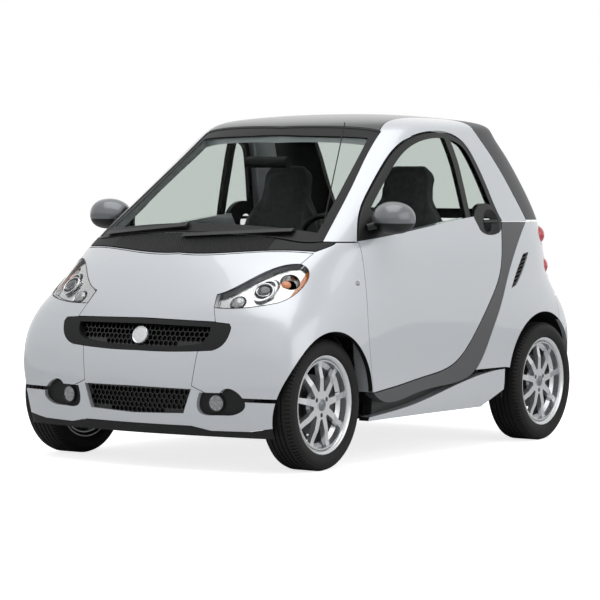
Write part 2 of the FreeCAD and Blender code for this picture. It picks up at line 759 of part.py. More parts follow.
def roof_region(grow=0.0):
    end = roof_side_shares[-1]
    rim = [header_shares, roof_side_shares, [(end[0], roof_end_share), (0, roof_end_share)]]
    face = plan_face(rim)
    return grown(face, grow) if grow else face


def screen_region(grow=0.0):
    end = screen_side_shares[-1]
    rim = [list(reversed(screen_foot_shares)), screen_side_shares, [end, (0, end[1])]]
    return front_face(rim, grow)


def ahead_of_header(grow=0.0):
    # the space ahead of the roof's front edge, over the cowl
    front = -1 - overrun / front_overhang
    outer = (whole_share, header_shares[-1][1])
    corner = (whole_share, front)
    rim = [header_shares, [header_shares[-1], outer], [outer, corner], [corner, (0, front)]]
    face = plan_face(rim)
    return upwards(grown(face, grow) if grow else face)


def make_cell():
    side = side_outline(cell_side_shares).cut(side_face(door_shares, frame_gap))
    side = max(side.Faces, key=lambda face: face.Area)
    prism = sideways(side)
    prism = prism.fuse(mirrored(prism)).removeSplitter()
    cell = shell(0.0, cell_depth).common(prism)
    roof = upwards(roof_region())
    roof_hole = upwards(roof_region(-flange_width))
    glass = backwards(screen_region()).common(ahead_of_header())
    glass_hole = backwards(screen_region(-flange_width)).common(ahead_of_header(-flange_width))
    cell = cell.cut(roof.cut(skin(skin_depth + seat_gap))).cut(roof_hole)
    cell = cell.cut(glass.cut(skin(glass_bed + seat_gap))).cut(glass_hole)
    cell = cell.cut(backwards(cowl_region()))
    export("safety_cell", cell)


def make_roof():
    export("roof_panel", shell(0.0, skin_depth).common(upwards(roof_region(-trim_gap))))
    glass = backwards(screen_region(-trim_gap)).common(ahead_of_header(-trim_gap))
    export("windscreen", shell(glass_depth, glass_bed).common(glass))


def make_sides():
    rim = [list(reversed(band_shares))] + corners(band_top_shares)
    half = side_face(rim, -seat_gap).cut(side_face(door_shares, shut_gap))
    half = max(half.Faces, key=lambda face: face.Area)
    export("lower_bands", both(shell(0.0, cell_depth).common(sideways(half))))
    sill = side_face([flare_shares] + corners([flare_shares[-1]] + sill_foot_shares + flare_shares[:1]), -seat_gap)
    left = shell(0.0, cell_depth).common(sideways(sill)).cut(wheel_space(front_axle_y, front_arch_radius))
    export("side_sills", both(left.cut(wheel_space(rear_axle_y, rear_arch_radius))))
    inner = side_outline(rear_wing_shares).cut(side_face([list(reversed(band_shares))] + corners(band_back_shares)))
    inner = grown(max(inner.Faces, key=lambda face: face.Area), -shut_gap / 2).cut(side_face(vent_shares))
    left = shell(0.0, skin_depth).common(sideways(inner)).cut(wheel_space(rear_axle_y, rear_arch_radius))
    left = left.cut(forwards_from(tailgate_region(shut_gap / 2), tail_start_share))
    for middle, lean in lamp_places():
        left = left.cut(lamp_space(middle, lean, tail_lamp_radius + trim_gap))
    export("rear_wings", both(max(left.Solids, key=lambda solid: solid.Volume)))
    export("side_vents", both(shell(glass_depth, skin_depth).common(sideways(vent_grille()))))


def vent_grille():
    # the vent's frame with slats across it
    vent = side_face(vent_shares, -seat_gap)
    foot, top = vent_shares[0][0], vent_shares[1][0]
    start, end = (Vector(0, along(point[0]), above(point[1])) for point in (foot, top))
    slats = []
    for i in range(1, slat_count):
        slat = Part.makePlane(slat_reach * 2, slat_width, Vector(0, -slat_reach, -slat_width / 2), x_axis, y_axis)
        slat.rotate(origin, x_axis, slat_lean)
        slat.translate(start + (end - start) * (i / slat_count))
        slats.append(slat)
    return vent.cut(grown(vent, -slat_width).cut(slats))


def cowl_region(grow=0.0):
    return front_face([cowl_front_shares, cowl_side_shares, screen_foot_shares], grow)


def sheet(points, grow=0.0):
    # a straight-edged outline seen from the front, given by its left half
    return front_face(corners(points), grow)


def make_front():
    gap = panel_gap / 2
    panel = shell(0.0, skin_depth)
    arches = both(wheel_space(front_axle_y, front_arch_radius))
    lamp = two_sided(front_face(headlamp_shares, gap, True))
    fog = two_sided(front_face([fog_shares], seat_gap, True))
    below = [(whole_share, 0), (0, 0)]
    export("bonnet", panel.common(backwards(front_face(bonnet_shares, -gap))))
    export("cowl_panel", panel.common(backwards(cowl_region(-trim_gap))))
    bumper = sheet(bumper_shares + below, -gap).cut(sheet(lip_shares + below, gap))
    bumper = bumper.cut(front_face(frame_shares, gap)).cut(front_face(grille_shares, seat_gap)).cut(fog)
    bumper = max(bumper.Faces, key=lambda face: face.Area)
    export("front_bumper", panel.common(backwards(bumper, 0.0)).cut(arches))
    lip = sheet(lip_shares + [(whole_share, lip_foot_share), (0, lip_foot_share)])
    export("front_lip", panel.common(backwards(lip, 0.0)).cut(arches))
    wings = sheet(wing_limit_shares).cut(sheet(bumper_shares + below, gap)).cut(lamp)
    for face in (front_face(bonnet_shares, gap), front_face(frame_shares, gap), cowl_region(gap), fog):
        wings = wings.cut(face)
    front = -1 - overrun / front_overhang
    foot = (front, door_front_shares[-1][1])
    top = (front, wing_top_share)
    rim = [door_front_shares, [door_front_shares[-1], foot], [foot, top], [top, door_front_shares[0]]]
    side = sideways(side_face(rim, -shut_gap / 2))
    found = []
    for face in sorted(wings.Faces, key=lambda face: -face.Area)[:2]:
        if face.CenterOfMass.x > 0:
            left = panel.common(backwards(face, wing_reach_share).common(side)).cut(arches)
            found = both(max(left.Solids, key=lambda solid: solid.Volume))
    export("front_wings", found)


def honeycomb(face):
    # six-sided openings in rows across an outline seen from the front
    inner = grown(face, -mesh_wall * 1.5)
    radius = (mesh_pitch - mesh_wall) / math.sqrt(3)
    box = face.BoundBox
    rows = int(box.ZLength / mesh_pitch * 2 / math.sqrt(3)) + 1
    columns = int(box.XMax / mesh_pitch) + 1
    holes = []
    for row in range(rows):
        z = box.ZMin + row * mesh_pitch * math.sqrt(3) / 2
        for column in range(-columns, columns + 1):
            x = (column + row % 2 / 2) * mesh_pitch
            turns = [math.pi * k / 3 for k in range(7)]
            points = [Vector(x + radius * math.sin(a), box.YMin, z + radius * math.cos(a)) for a in turns]
            if all(inner.isInside(point, seat_gap, True) for point in points):
                holes.append(Part.Face(Part.makePolygon(points)))
    return face.cut(holes)


def make_grilles():
    frame = front_face(frame_shares, -seat_gap)
    mesh = front_face(mesh_shares)
    export("upper_grille_frame", shell(0.0, skin_depth).common(backwards(frame.cut(mesh))))
    meshes = []
    for face in (grown(mesh, mesh_overlap), front_face(grille_shares, mesh_overlap)):
        plain = shell(mesh_bed, mesh_depth).common(backwards(face))
        meshes += plain.common(backwards(honeycomb(face))).Solids
    export("grilles", Part.makeCompound(meshes))


def make_lamps():
    lamp = front_face(headlamp_shares, -seat_gap, True)
    export("headlamps", both(headlamp_body(lamp)))
    export("headlamp_lenses", both(shell(0.0, glass_depth).common(backwards(lamp))))
    clear = wheel_space(front_axle_y, front_liner_radius + liner_wall + seat_gap)
    pod = shell(mesh_bed, mesh_depth).common(backwards(front_face([fog_shares], mesh_overlap, True))).cut(clear)
    x, z = fog_lamp_shares
    start = Vector(across(x), along(-1) - overrun, above(z))
    hole = Part.makeCylinder(fog_lamp_radius + seat_gap, front_overhang, start, y_axis)
    lamp = Part.makeCylinder(fog_lamp_radius, front_overhang, start, y_axis)
    export("fog_lamp_pods", both(pod.cut(hole)))
    export("fog_lamps", both(shell(fog_lamp_bed, mesh_depth).common(lamp).cut(clear)))
    export("tail_lamps", both(Part.makeCompound([tail_lamp(middle, lean) for middle, lean in lamp_places()])))


def headlamp_body(lamp):
    # the reflector shell behind the lens, with the projector's barrel and two bowls
    body = shell(skin_depth, cell_depth).common(backwards(lamp))
    x, z = projector_shares
    start = Vector(across(x), along(-1) - overrun, above(z))
    barrel = Part.makeCylinder(projector_radius, front_overhang * 3, start, y_axis)
    bore = Part.makeCylinder(projector_radius - projector_wall, front_overhang * 3, start, y_axis)
    ring = shell(projector_front, skin_depth + seat_gap).common(barrel.cut(bore))
    body = body.fuse(ring)
    for x, y, z, radius in lamp_bowl_shares:
        body = body.cut(Part.makeSphere(across(radius), place_at(x, y, z)))
    ball = Part.makeSphere(projector_radius - projector_wall, place_at(*projector_middle_shares))
    return max(body.fuse(ball.common(skin(projector_front))).removeSplitter().Solids, key=lambda solid: solid.Volume)


def tail_lamp(middle, lean):
    # a ball lens that stands out of the body as a dome
    ball = Part.makeSphere(tail_lamp_radius, middle - lean * (tail_lamp_radius - dome_rise))
    return ball.cut(skin(skin_depth))


def lamp_places():
    # the tail lamps' middles on the surface, each with the way it looks
    found = []
    for x, y, z, turn in tail_lamp_shares:
        angle = turn * math.pi
        found.append((place_at(x, y, z), Vector(math.sin(angle), math.cos(angle), 0)))
    return found


def lamp_space(middle, lean, radius):
    return Part.makeCylinder(radius, tail_lamp_reach * 2, middle - lean * tail_lamp_reach, lean)


def tailgate_region(grow=0.0):
    return front_face(tailgate_shares, grow, False, along(tail_start_share))


def forwards_from(face, start):
    # a rear outline drawn back through the tail
    return face.extrude(y_axis * (along(2) + overrun - along(start)))


def hatch_prism(grow=0.0):
    face = side_outline(hatch_rim_shares, grow)
    prism = sideways(face)
    return prism.fuse(mirrored(prism)).removeSplitter()


def make_rear():
    panel = shell(0.0, skin_depth)
    lid = panel.common(hatch_prism(-shut_gap / 2))
    glass_face = front_face(hatch_glass_shares, 0.0, False, along(tail_start_share))
    glass = forwards_from(glass_face, tail_start_share)
    export("rear_hatch", lid.cut(glass))
    glass_face = front_face(hatch_glass_shares, -seat_gap, False, along(tail_start_share))
    glass = forwards_from(glass_face, tail_start_share)
    export("hatch_glass", shell(glass_depth, glass_bed).common(glass))
    gate = shell(0.0, cell_depth).common(forwards_from(tailgate_region(-shut_gap / 2), tail_start_share))
    export("tailgate", gate)
    foot = whole_zone(rear_split_share, 2 + overrun / rear_overhang, bumper_foot_share, bumper_top_share)
    bumper = panel.common(foot).cut(both(wheel_space(rear_axle_y, rear_arch_radius)))
    export("rear_bumper", bumper)


def make_dashboard():
    body = side_slab(dash_shares, -dash_half_share, dash_half_share).common(skin(cell_depth + liner_gap))
    tunnel = side_slab(column_shares, column_inner_share, column_outer_share)
    middle, up = wheel_frame()
    start = middle - up * (steering_hub_depth + running_gap_axial)
    shaft = Part.makeCylinder(steering_shaft_radius, steering_shaft_length, start - up * steering_shaft_length, up)
    export("dashboard", fused([body, tunnel.common(skin(cell_depth + liner_gap)), shaft]))


def wheel_frame():
    # the steering wheel's middle and the way its shaft runs down
    lean = steering_lean_share * math.pi
    return place_at(*steering_middle_shares), Vector(0, -math.sin(lean), -math.cos(lean)).negative()


def make_steering_wheel():
    middle, up = wheel_frame()
    rim = Part.makeTorus(steering_rim_radius, steering_grip_radius, middle, up)
    hub = Part.makeCylinder(steering_hub_radius, steering_hub_depth, middle - up * steering_hub_depth, up)
    parts = [rim, hub]
    side = x_axis
    forward = up.cross(side)
    for turn in steering_spoke_shares:
        angle = turn * math.pi
        way = side * math.cos(angle) + forward * math.sin(angle)
        start = middle - up * steering_hub_depth / 2
        parts.append(rod(start, middle + way * steering_rim_radius, steering_spoke_radius))
    export("steering_wheel", fused(parts))


def make_seats():
    parts = []
    for points in (seat_shares, headrest_shares):
        part = side_outline(points).extrude(x_axis * across(seat_width_share))
        part.translate(x_axis * -across(seat_width_share) / 2)
        parts.append(part)
    seat = fused(parts).common(backwards(front_face(seat_front_shares), 1))
    seat.translate(x_axis * across(seat_middle_share))
    export("seats", both(seat))


def make_floor():
    pan = side_slab(floor_shares, -floor_half_share, floor_half_share)
    parts = [pan]
    for x_low, x_high in (curb_across_shares, (-curb_across_shares[1], -curb_across_shares[0])):
        parts.append(zone(*curb_shares, x_low, x_high))
    pan = fused(parts)
    for place, radius, inside in ((front_axle_y, front_liner_radius, floor_front_clear_share),
                                  (rear_axle_y, rear_liner_radius, rear_wall_share)):
        clear = wheel_space(place, radius + liner_wall + liner_gap, across(inside) - liner_gap * 2)
        pan = pan.cut(clear).cut(mirrored(clear))
    pan = pan.cut(zone(*floor_corner_shares)).cut(mirrored(zone(*floor_corner_shares)))
    export("floor_pan", pan.common(skin(cell_depth + seat_gap)))


def liner(place, radius, x_wall):
    ring = wheel_ring(place, radius + liner_wall, radius, x_wall, half_width)
    disc = wheel_ring(place, radius + liner_wall, liner_hole_radius, x_wall - liner_wall, x_wall)
    return ring.fuse(disc).removeSplitter()


def make_liners():
    left = liner(front_axle_y, front_liner_radius, across(front_wall_share))
    boss_low = kingpin_point(strut_reach + boss_gap)
    boss = Part.makeCylinder(boss_radius, boss_depth, boss_low, kingpin_way())
    left = left.fuse(boss).removeSplitter().cut(zone(*front_liner_foot_shares)).cut(zone(*front_liner_door_shares))
    front = both(left.common(skin(skin_depth + seat_gap)))
    left = liner(rear_axle_y, rear_liner_radius, across(rear_wall_share)).cut(zone(*rear_liner_foot_shares))
    rear = both(left.common(skin(skin_depth + seat_gap)))
    export("wheel_liners", Part.makeCompound(front.Solids + rear.Solids))


def make_structure():
    rail = side_slab(rail_shares, *rail_across_shares)
    parts = [rail, mirrored(rail), whole_zone(*front_beam_shares), whole_zone(*rack_shares),
             whole_zone(*radiator_shares)]
    export("front_frame", fused(parts).common(skin(cell_depth)))
    parts = [zone(*rear_rail_shares), mirrored(zone(*rear_rail_shares)), whole_zone(*rear_beam_shares),
             whole_zone(*engine_beam_shares)]
    export("rear_frame", fused(parts).common(skin(cell_depth)))
    export("engine_block", whole_zone(*engine_shares))
    parts = [rod(place_at(-silencer_half_share, *silencer_shares), place_at(silencer_half_share, *silencer_shares),
                 silencer_radius)]
    parts.append(rod(place_at(*tailpipe_start_shares), place_at(*tailpipe_end_shares), tailpipe_radius))
    export("exhaust", fused(parts))


def kingpin_way():
    lean = kingpin_share * math.pi
    return Vector(-math.sin(lean), 0, math.cos(lean))


def kingpin_point(reach):
    return Vector(across(kingpin_across_share), front_axle_y, front_axle_z) + kingpin_way() * reach


def wheel_middle(front):
    if front:
        return Vector(front_track / 2, front_axle_y, front_axle_z)
    return Vector(rear_track / 2, rear_axle_y, rear_axle_z)


def drum(middle, start, end, radius):
    # a disc on the wheel's axis, its ends measured outwards from the wheel's middle plane
    return Part.makeCylinder(radius, end - start, middle + x_axis * start, x_axis)


def caliper(middle):
    low, high = caliper_reach
    ring = drum(middle, low, high, caliper_outer).cut(drum(middle, low, high, caliper_inner))
    near, far = disc_face - caliper_clear, disc_face + disc_thickness + caliper_clear
    slot = drum(middle, near, far, disc_radius + caliper_clear)
    keep = Part.makeBox(high - low, caliper_outer, caliper_outer, middle + Vector(low, 0, -caliper_outer / 2))
    return ring.cut(slot).common(keep)


def make_knuckle():
    middle = wheel_middle(True)
    parts = [drum(middle, carrier_start, carrier_end, carrier_radius),
             drum(middle, carrier_end, spindle_end, spindle_radius), caliper(middle)]
    bridge = Part.makeBox(carrier_end - carrier_start, caliper_inner, carrier_radius, middle +
                          Vector(carrier_start, 0, -carrier_radius / 2))
    parts.append(bridge)
    low = kingpin_point(-ball_reach)
    parts.append(rod(low - kingpin_way() * ball_half, low + kingpin_way() * ball_half, ball_radius))
    parts.append(rod(low + kingpin_way() * ball_half, middle + x_axis * carrier_middle, leg_radius))
    foot = middle + Vector(carrier_start + leg_radius, 0, carrier_radius / 2)
    top = kingpin_point(strut_reach - strut_head)
    parts.append(rod(foot, top, strut_radius))
    parts.append(rod(top, kingpin_point(strut_reach), strut_radius))
    parts.append(Part.makeSphere(strut_radius, top))
    arm = middle + Vector(carrier_start + leg_radius, 0, 0)
    parts.append(rod(arm, arm + Vector(-leg_radius, steering_arm, -leg_radius), leg_radius))
    export_pair("knuckle", fused(parts))


def make_suspension():
    ball = kingpin_point(-ball_reach - ball_half - seat_gap)
    eye = Part.makeCylinder(arm_width / 2, arm_depth, ball - kingpin_way() * arm_depth, kingpin_way())
    inner = Vector(across(arm_inner_share), front_axle_y, ball.z - arm_depth / 2)
    outer = ball - kingpin_way() * (arm_depth - arm_bar_radius)
    bar = rod(inner, outer, arm_bar_radius)
    link = rod(Vector(inner.x, along(arm_link_share), inner.z), outer + x_axis * -arm_width * 2, arm_bar_radius)
    pivot = rod(Vector(inner.x, along(-arm_link_share), inner.z), Vector(inner.x, along(arm_link_share), inner.z),
                arm_depth / 2)
    export("front_arms", both(fused([eye, bar, link, pivot])))
    middle = wheel_middle(False)
    parts = [drum(middle, carrier_start, carrier_end, carrier_radius),
             drum(middle, carrier_end, spindle_end, spindle_radius), caliper(middle)]
    parts.append(Part.makeBox(carrier_end - carrier_start, caliper_inner, carrier_radius, middle +
                              Vector(carrier_start, 0, -carrier_radius / 2)))
    elbow = Vector(middle.x + carrier_start + leg_radius, rear_axle_y, above(axle_tube_height_share))
    parts.append(rod(middle + Vector(carrier_start + leg_radius, 0, 0), elbow, leg_radius))
    parts.append(Part.makeSphere(axle_tube_radius, elbow))
    left = fused(parts)
    tube = rod(elbow, Vector(-elbow.x, elbow.y, elbow.z), axle_tube_radius)
    start = Vector(across(damper_share), rear_axle_y, above(axle_tube_height_share))
    damper = Part.makeCylinder(damper_radius, above(damper_top_share) - start.z, start)
    export("rear_axle", fused([left, mirrored(left), tube, damper, mirrored(damper)]))


def ring_solid(middle, profile):
    # turns a profile of radius and offset pairs round the wheel's axis
    points = [Vector(middle.x + offset, middle.y, middle.z + radius) for radius, offset in profile]
    face = Part.Face(Part.makePolygon(points + points[:1]))
    return face.revolve(middle, x_axis, full_turn)


def tyre(middle, radius, width):
    half = width / 2
    half_rim = half - rim_tuck
    profile = [(rim_radius + seat_gap, half_rim), (rim_radius + shoulder_drop, half),
               (radius - shoulder_drop * 2, half), (radius - shoulder_drop / 2, half - shoulder_drop / 2),
               (radius, half - tread_drop)]
    profile = profile + [(r, -x) for r, x in reversed(profile)]
    return ring_solid(middle, profile)


def spoke(middle):
    # one spoke standing up: its dished side outline, narrowed at the waist
    outer = [Vector(0, 0, share * rim_radius) + x_axis * face for share, back, face in spoke_shares]
    inner = [Vector(0, 0, share * rim_radius) + x_axis * back for share, back, face in spoke_shares]
    front, back = Part.BSplineCurve(), Part.BSplineCurve()
    front.interpolate(outer)
    back.interpolate(inner)
    root, tip = outer[0].z, outer[-1].z
    foot = Vector(face_start, 0, 0)
    ends = [Part.makePolygon([inner[0], foot, Vector(face_end, 0, 0), outer[0]]), Part.makeLine(inner[-1], outer[-1])]
    side = Part.Face(Part.Wire(Part.__sortEdges__([front.toShape(), back.toShape()] + ends[0].Edges + [ends[1]])))
    side = side.extrude(y_axis * spoke_root * 2)
    side.translate(y_axis * -spoke_root)
    waist = (root + tip) / 2
    edges = [(-spoke_root, 0), (-spoke_waist, waist), (-spoke_tip, tip + seat_gap), (spoke_tip, tip + seat_gap),
             (spoke_waist, waist), (spoke_root, 0), (-spoke_root, 0)]
    plan = Part.Face(Part.makePolygon([Vector(0, y, z) for y, z in edges])).extrude(x_axis * front_tyre_width)
    whole = side.common(plan)
    whole.translate(middle)
    return whole


def rim(middle, width):
    half = width / 2 - rim_tuck - seat_gap
    lip = half - rim_flange_width
    seat = lip - rim_seat_width
    well = [(rim_radius, half), (rim_radius, lip), (rim_seat_radius, lip), (rim_seat_radius, seat),
            (rim_well_radius, seat - rim_slope)]
    well = well + [(r, -x) for r, x in reversed(well)]
    inner = [(r - rim_wall, x) for r, x in reversed(well)]
    inner[0], inner[-1] = (rim_radius - rim_wall, -half), (rim_radius - rim_wall, half)
    barrel = ring_solid(middle, well + inner)
    parts = [barrel, drum(middle, face_start, face_end, hub_radius)]
    parts.append(drum(middle, face_end, face_end + cap_height, cap_radius))
    parts.append(drum(middle, disc_face, disc_face + disc_thickness, disc_radius))
    parts.append(drum(middle, disc_face, face_start, hat_radius))
    parts.append(drum(middle, hub_start, disc_face, boss_hub_radius))
    for i in range(spoke_count):
        turned = spoke(middle)
        turned.rotate(middle, x_axis, full_turn * i / spoke_count)
        parts.append(turned)
    whole = fused(parts)
    for i in range(lug_count):
        hole = drum(middle, face_end - lug_depth, face_end + cap_height, lug_radius)
        hole.translate(z_axis * lug_reach)
        hole.rotate(middle, x_axis, full_turn * (i / lug_count + 1 / lug_count / 2))
        whole = whole.cut(hole)
    return whole.cut(drum(middle, hub_start, spindle_end + running_gap_axial, spindle_radius + running_gap))


def make_wheels():
    for front, name, radius, width in ((True, "front", front_tyre_radius, front_tyre_width),
                                       (False, "rear", rear_tyre_radius, rear_tyre_width)):
        middle = wheel_middle(front)
        export_pair(name + "_tyre", tyre(middle, radius, width))
        export_pair(name + "_rim", rim(middle, width))


def strip_round(line):
    # a narrow outline along a line seen from the front
    start, end = line.Vertexes[0].Point, line.Vertexes[1].Point
    side = (end - start).normalize().cross(y_axis) * wiper_half
    return Part.makePolygon([start + side, end + side, end - side, start - side, start + side])


def make_trim():
    mirror_pod = rod(place_at(*rear_view_low_shares), place_at(*rear_view_high_shares), rear_view_radius)
    export("interior_mirror", mirror_pod)
    parts = []
    near = along(-1) - overrun
    for start, end in wiper_shares:
        line = Part.makeLine(*[Vector(across(x), near, above(z)) for x, z in (start, end)])
        strip = shell(-wiper_height, 0.0).common(backwards(Part.Face(strip_round(line))))
        parts.append(max(strip.Solids, key=lambda solid: solid.Volume))
    export("wipers", Part.makeCompound(parts))
    mast = rod(place_at(*aerial_foot_shares), place_at(*aerial_tip_shares), aerial_radius).cut(skin(0.0))
    export("aerial", max(mast.Solids, key=lambda solid: solid.Volume))


make_doors()
make_mirrors()
make_cell()
make_roof()
make_sides()
make_front()
make_grilles()
make_lamps()
make_rear()
make_dashboard()
make_steering_wheel()
make_seats()
make_floor()
make_liners()
make_structure()
make_knuckle()
make_suspension()
make_wheels()
make_trim()
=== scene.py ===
import math

import bmesh
import bpy
from mathutils import Matrix, Vector


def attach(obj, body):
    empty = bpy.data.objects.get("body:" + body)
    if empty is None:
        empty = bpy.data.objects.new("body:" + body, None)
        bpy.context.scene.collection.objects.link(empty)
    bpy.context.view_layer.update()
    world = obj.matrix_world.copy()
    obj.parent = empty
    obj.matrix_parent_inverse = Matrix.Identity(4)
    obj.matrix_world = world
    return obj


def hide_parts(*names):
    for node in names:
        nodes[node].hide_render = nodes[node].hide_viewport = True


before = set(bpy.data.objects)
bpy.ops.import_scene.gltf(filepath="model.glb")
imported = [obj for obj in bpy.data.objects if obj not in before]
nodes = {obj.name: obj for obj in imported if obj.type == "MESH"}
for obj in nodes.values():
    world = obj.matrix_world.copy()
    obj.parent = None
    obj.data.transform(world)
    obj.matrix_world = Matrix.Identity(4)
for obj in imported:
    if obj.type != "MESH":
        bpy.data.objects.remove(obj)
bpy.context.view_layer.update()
print("frame loaded", len(nodes), "nodes")

# lengths are metres, and only the sizes of patterns in materials are millimetres
sides = {"left": 1, "right": -1}
axles = {
    "front": {"x": 0.6415, "y": -0.9325, "radius": 0.2835, "width": 0.163},
    "rear": {"x": 0.6925, "y": 0.9345, "radius": 0.28675, "width": 0.175},
}
wheels = {}
for end, axle in axles.items():
    for sideName, side in sides.items():
        centre = (side * axle["x"], axle["y"], axle["radius"])
        wheels[end + "_" + sideName] = (end + "_wheel_" + sideName, centre, axle["radius"], axle["width"])

outside = 2.0  # clear of the car on every side, where a line toward it starts
cadWeld = 1e-5  # points of a CAD node closer than this are one
spinWeld = 1e-6  # the same for a turned outline
sharpAngle = 35  # faces that meet at more degrees than this keep a crisp edge
domeSegments = 32


# Colours and nodes

def colour(hexCode, alpha=1.0):
    # an sRGB hex value as linear light
    values = [int(hexCode[i:i + 2], 16) / 255 for i in (1, 3, 5)]
    linear = [v / 12.92 if v <= 0.04045 else ((v + 0.055) / 1.055) ** 2.4 for v in values]
    return (*linear, alpha)


def addNode(tree, kind, settings=None, *inputs):
    # settings and inputs go by name, further inputs in order; an input is a value, a node or (node, output)
    node = tree.nodes.new("ShaderNode" + kind)
    for name, value in [*(settings or {}).items(), *enumerate(inputs)]:
        source, output = value if isinstance(value, tuple) and len(value) == 2 else (value, 0)
        if isinstance(source, bpy.types.Node):
            tree.links.new(source.outputs[output], node.inputs[name])
        elif isinstance(name, int) or name in node.inputs:
            node.inputs[name].default_value = value
        else:
            setattr(node, name, value)
    return node


pattern = {"grainDetail": 3.0, "mottleDetail": 4.0, "mottleFrom": 0.35, "mottleTo": 0.7}


def newMaterial(name, hexCode, roughness, metallic=0.0, grainSize=0.0, grainDepth=0.0, mottle=None, mottleSize=40.0,
                **more):
    # grain and mottle sizes in millimetres; mottle is a second tone that the first one drifts towards
    material = bpy.data.materials.new(name)
    material.use_nodes = True
    tree = material.node_tree
    shader = tree.nodes["Principled BSDF"]
    shader.inputs["Base Color"].default_value = colour(hexCode)
    shader.inputs["Roughness"].default_value = roughness
    shader.inputs["Metallic"].default_value = metallic
    for socket, value in more.items():
        shader.inputs[socket.replace("_", " ")].default_value = value
    place = addNode(tree, "TexCoord")
    if grainSize:
        noise = addNode(tree, "TexNoise", {"Scale": 1000 / grainSize, "Detail": pattern["grainDetail"],
                                           "Vector": (place, "Object")})
        bump = addNode(tree, "Bump", {"Strength": 1.0, "Distance": grainDepth / 1000, "Height": (noise, "Fac")})
        tree.links.new(bump.outputs["Normal"], shader.inputs["Normal"])
    if mottle:
        patches = addNode(tree, "TexNoise", {"Scale": 1000 / mottleSize, "Detail": pattern["mottleDetail"],
                                             "Vector": (place, "Object")})
        ramp = addNode(tree, "ValToRGB", {"Fac": (patches, "Fac")})
        low, high = ramp.color_ramp.elements
        low.position, high.position = pattern["mottleFrom"], pattern["mottleTo"]
        low.color, high.color = colour(hexCode), colour(mottle)
        tree.links.new(ramp.outputs["Color"], shader.inputs["Base Color"])
    return material


def splitMaterial(name, first, second, makeMask):
    # first where the mask is 0; where it is 1, second's plain values without its grain and mottle
    material = first.copy()
    material.name = name
    tree = material.node_tree
    shader = tree.nodes["Principled BSDF"]
    other = addNode(tree, "BsdfPrincipled")
    for socket in second.node_tree.nodes["Principled BSDF"].inputs:
        if socket.name in other.inputs and hasattr(socket, "default_value"):
            other.inputs[socket.name].default_value = socket.default_value
    place = addNode(tree, "TexCoord")
    parts = addNode(tree, "SeparateXYZ", {"Vector": (place, "Object")})
    mix = addNode(tree, "MixShader", None, makeMask(tree, parts), shader, other)
    tree.links.new(mix.outputs[0], tree.nodes["Material Output"].inputs["Surface"])
    return material


# Materials

# two-layer car paint, fine flake under clear lacquer: pale cool silver with a wet gloss
silverPaint = newMaterial("silverPaint", "#c2c6cb", roughness=0.36, metallic=0.35, grainSize=0.5,
                          grainDepth=0.004, mottle="#cbcfd4", mottleSize=0.8, Coat_Weight=1.0,
                          Coat_Roughness=0.03)

# satin dark grey lacquer on the swept band beside the door
greyPaint = newMaterial("greyPaint", "#424345", roughness=0.45, metallic=0.2, grainSize=0.5, grainDepth=0.004,
                        mottle="#48494b", mottleSize=0.8, Coat_Weight=0.3, Coat_Roughness=0.2)

# painted mirror shells, mid grey metallic
mirrorPaint = newMaterial("mirrorPaint", "#66696c", roughness=0.36, metallic=0.5, grainSize=0.5,
                          grainDepth=0.003, mottle="#707376", mottleSize=0.8, Coat_Weight=0.8,
                          Coat_Roughness=0.08)

# gloss graphite polycarbonate of the roof
roofBlack = newMaterial("roofBlack", "#1e2021", roughness=0.3, metallic=0.1, grainSize=0.6, grainDepth=0.002,
                        mottle="#2b2d2f", mottleSize=3.0, Coat_Weight=0.5, Coat_Roughness=0.08)

# satin dark plastic of the rear lid and its side strips
lidBlack = newMaterial("lidBlack", "#2c2d30", roughness=0.42, grainSize=0.7, grainDepth=0.02, mottle="#313235",
                       mottleSize=6.0)

# grained polypropylene: soft dark grey with a pebbled grain and no gloss
grainedPlastic = newMaterial("grainedPlastic", "#111213", roughness=0.62, grainSize=1.1, grainDepth=0.05,
                             mottle="#161718", mottleSize=9.0, Specular_IOR_Level=0.3)

# satin black trim of window frames, vents, wipers and seals, with a finer grain
trimBlack = newMaterial("trimBlack", "#0d0e0f", roughness=0.42, grainSize=0.7, grainDepth=0.02,
                        mottle="#121314", mottleSize=6.0, Specular_IOR_Level=0.35)

# black glass-fibre mesh in the grilles, half gloss
meshBlack = newMaterial("meshBlack", "#0b0c0d", roughness=0.30, grainSize=0.8, grainDepth=0.01)

# lightly tinted safety glass
windowGlass = newMaterial("windowGlass", "#dbe0dd", roughness=0.0, Transmission_Weight=1.0, IOR=1.02)

# black ceramic print along the windscreen's glued edges
frit = newMaterial("frit", "#060707", roughness=0.45, Specular_IOR_Level=0.2)

# clear polycarbonate lamp covers
lampCover = newMaterial("lampCover", "#ffffff", roughness=0.0, Transmission_Weight=1.0, IOR=1.04)

# aluminised plastic behind the covers, with faint ripples from the mould
lampMirror = newMaterial("lampMirror", "#b9bbbb", roughness=0.2, metallic=1.0, grainSize=9.0, grainDepth=0.6)

# moulded amber plastic of the indicator, at the lamp's outer end
amberPlastic = newMaterial("amberPlastic", "#b5682c", roughness=0.22, grainSize=4.0, grainDepth=0.2,
                           Coat_Weight=1.0)

# dark glass ball of the projector
projectorGlass = newMaterial("projectorGlass", "#33363a", roughness=0.08, metallic=0.35, grainSize=5.0,
                             grainDepth=0.05, Coat_Weight=1.0, Coat_Roughness=0.0)

# pressed steel reflector behind fluted glass, in the fog lamps, the high beam and the marker lamps
flutedLamp = newMaterial("flutedLamp", "#6f7274", roughness=0.16, metallic=0.9, grainSize=5.0, grainDepth=0.8,
                         mottle="#a3a6a7", mottleSize=9.0, Coat_Weight=1.0)

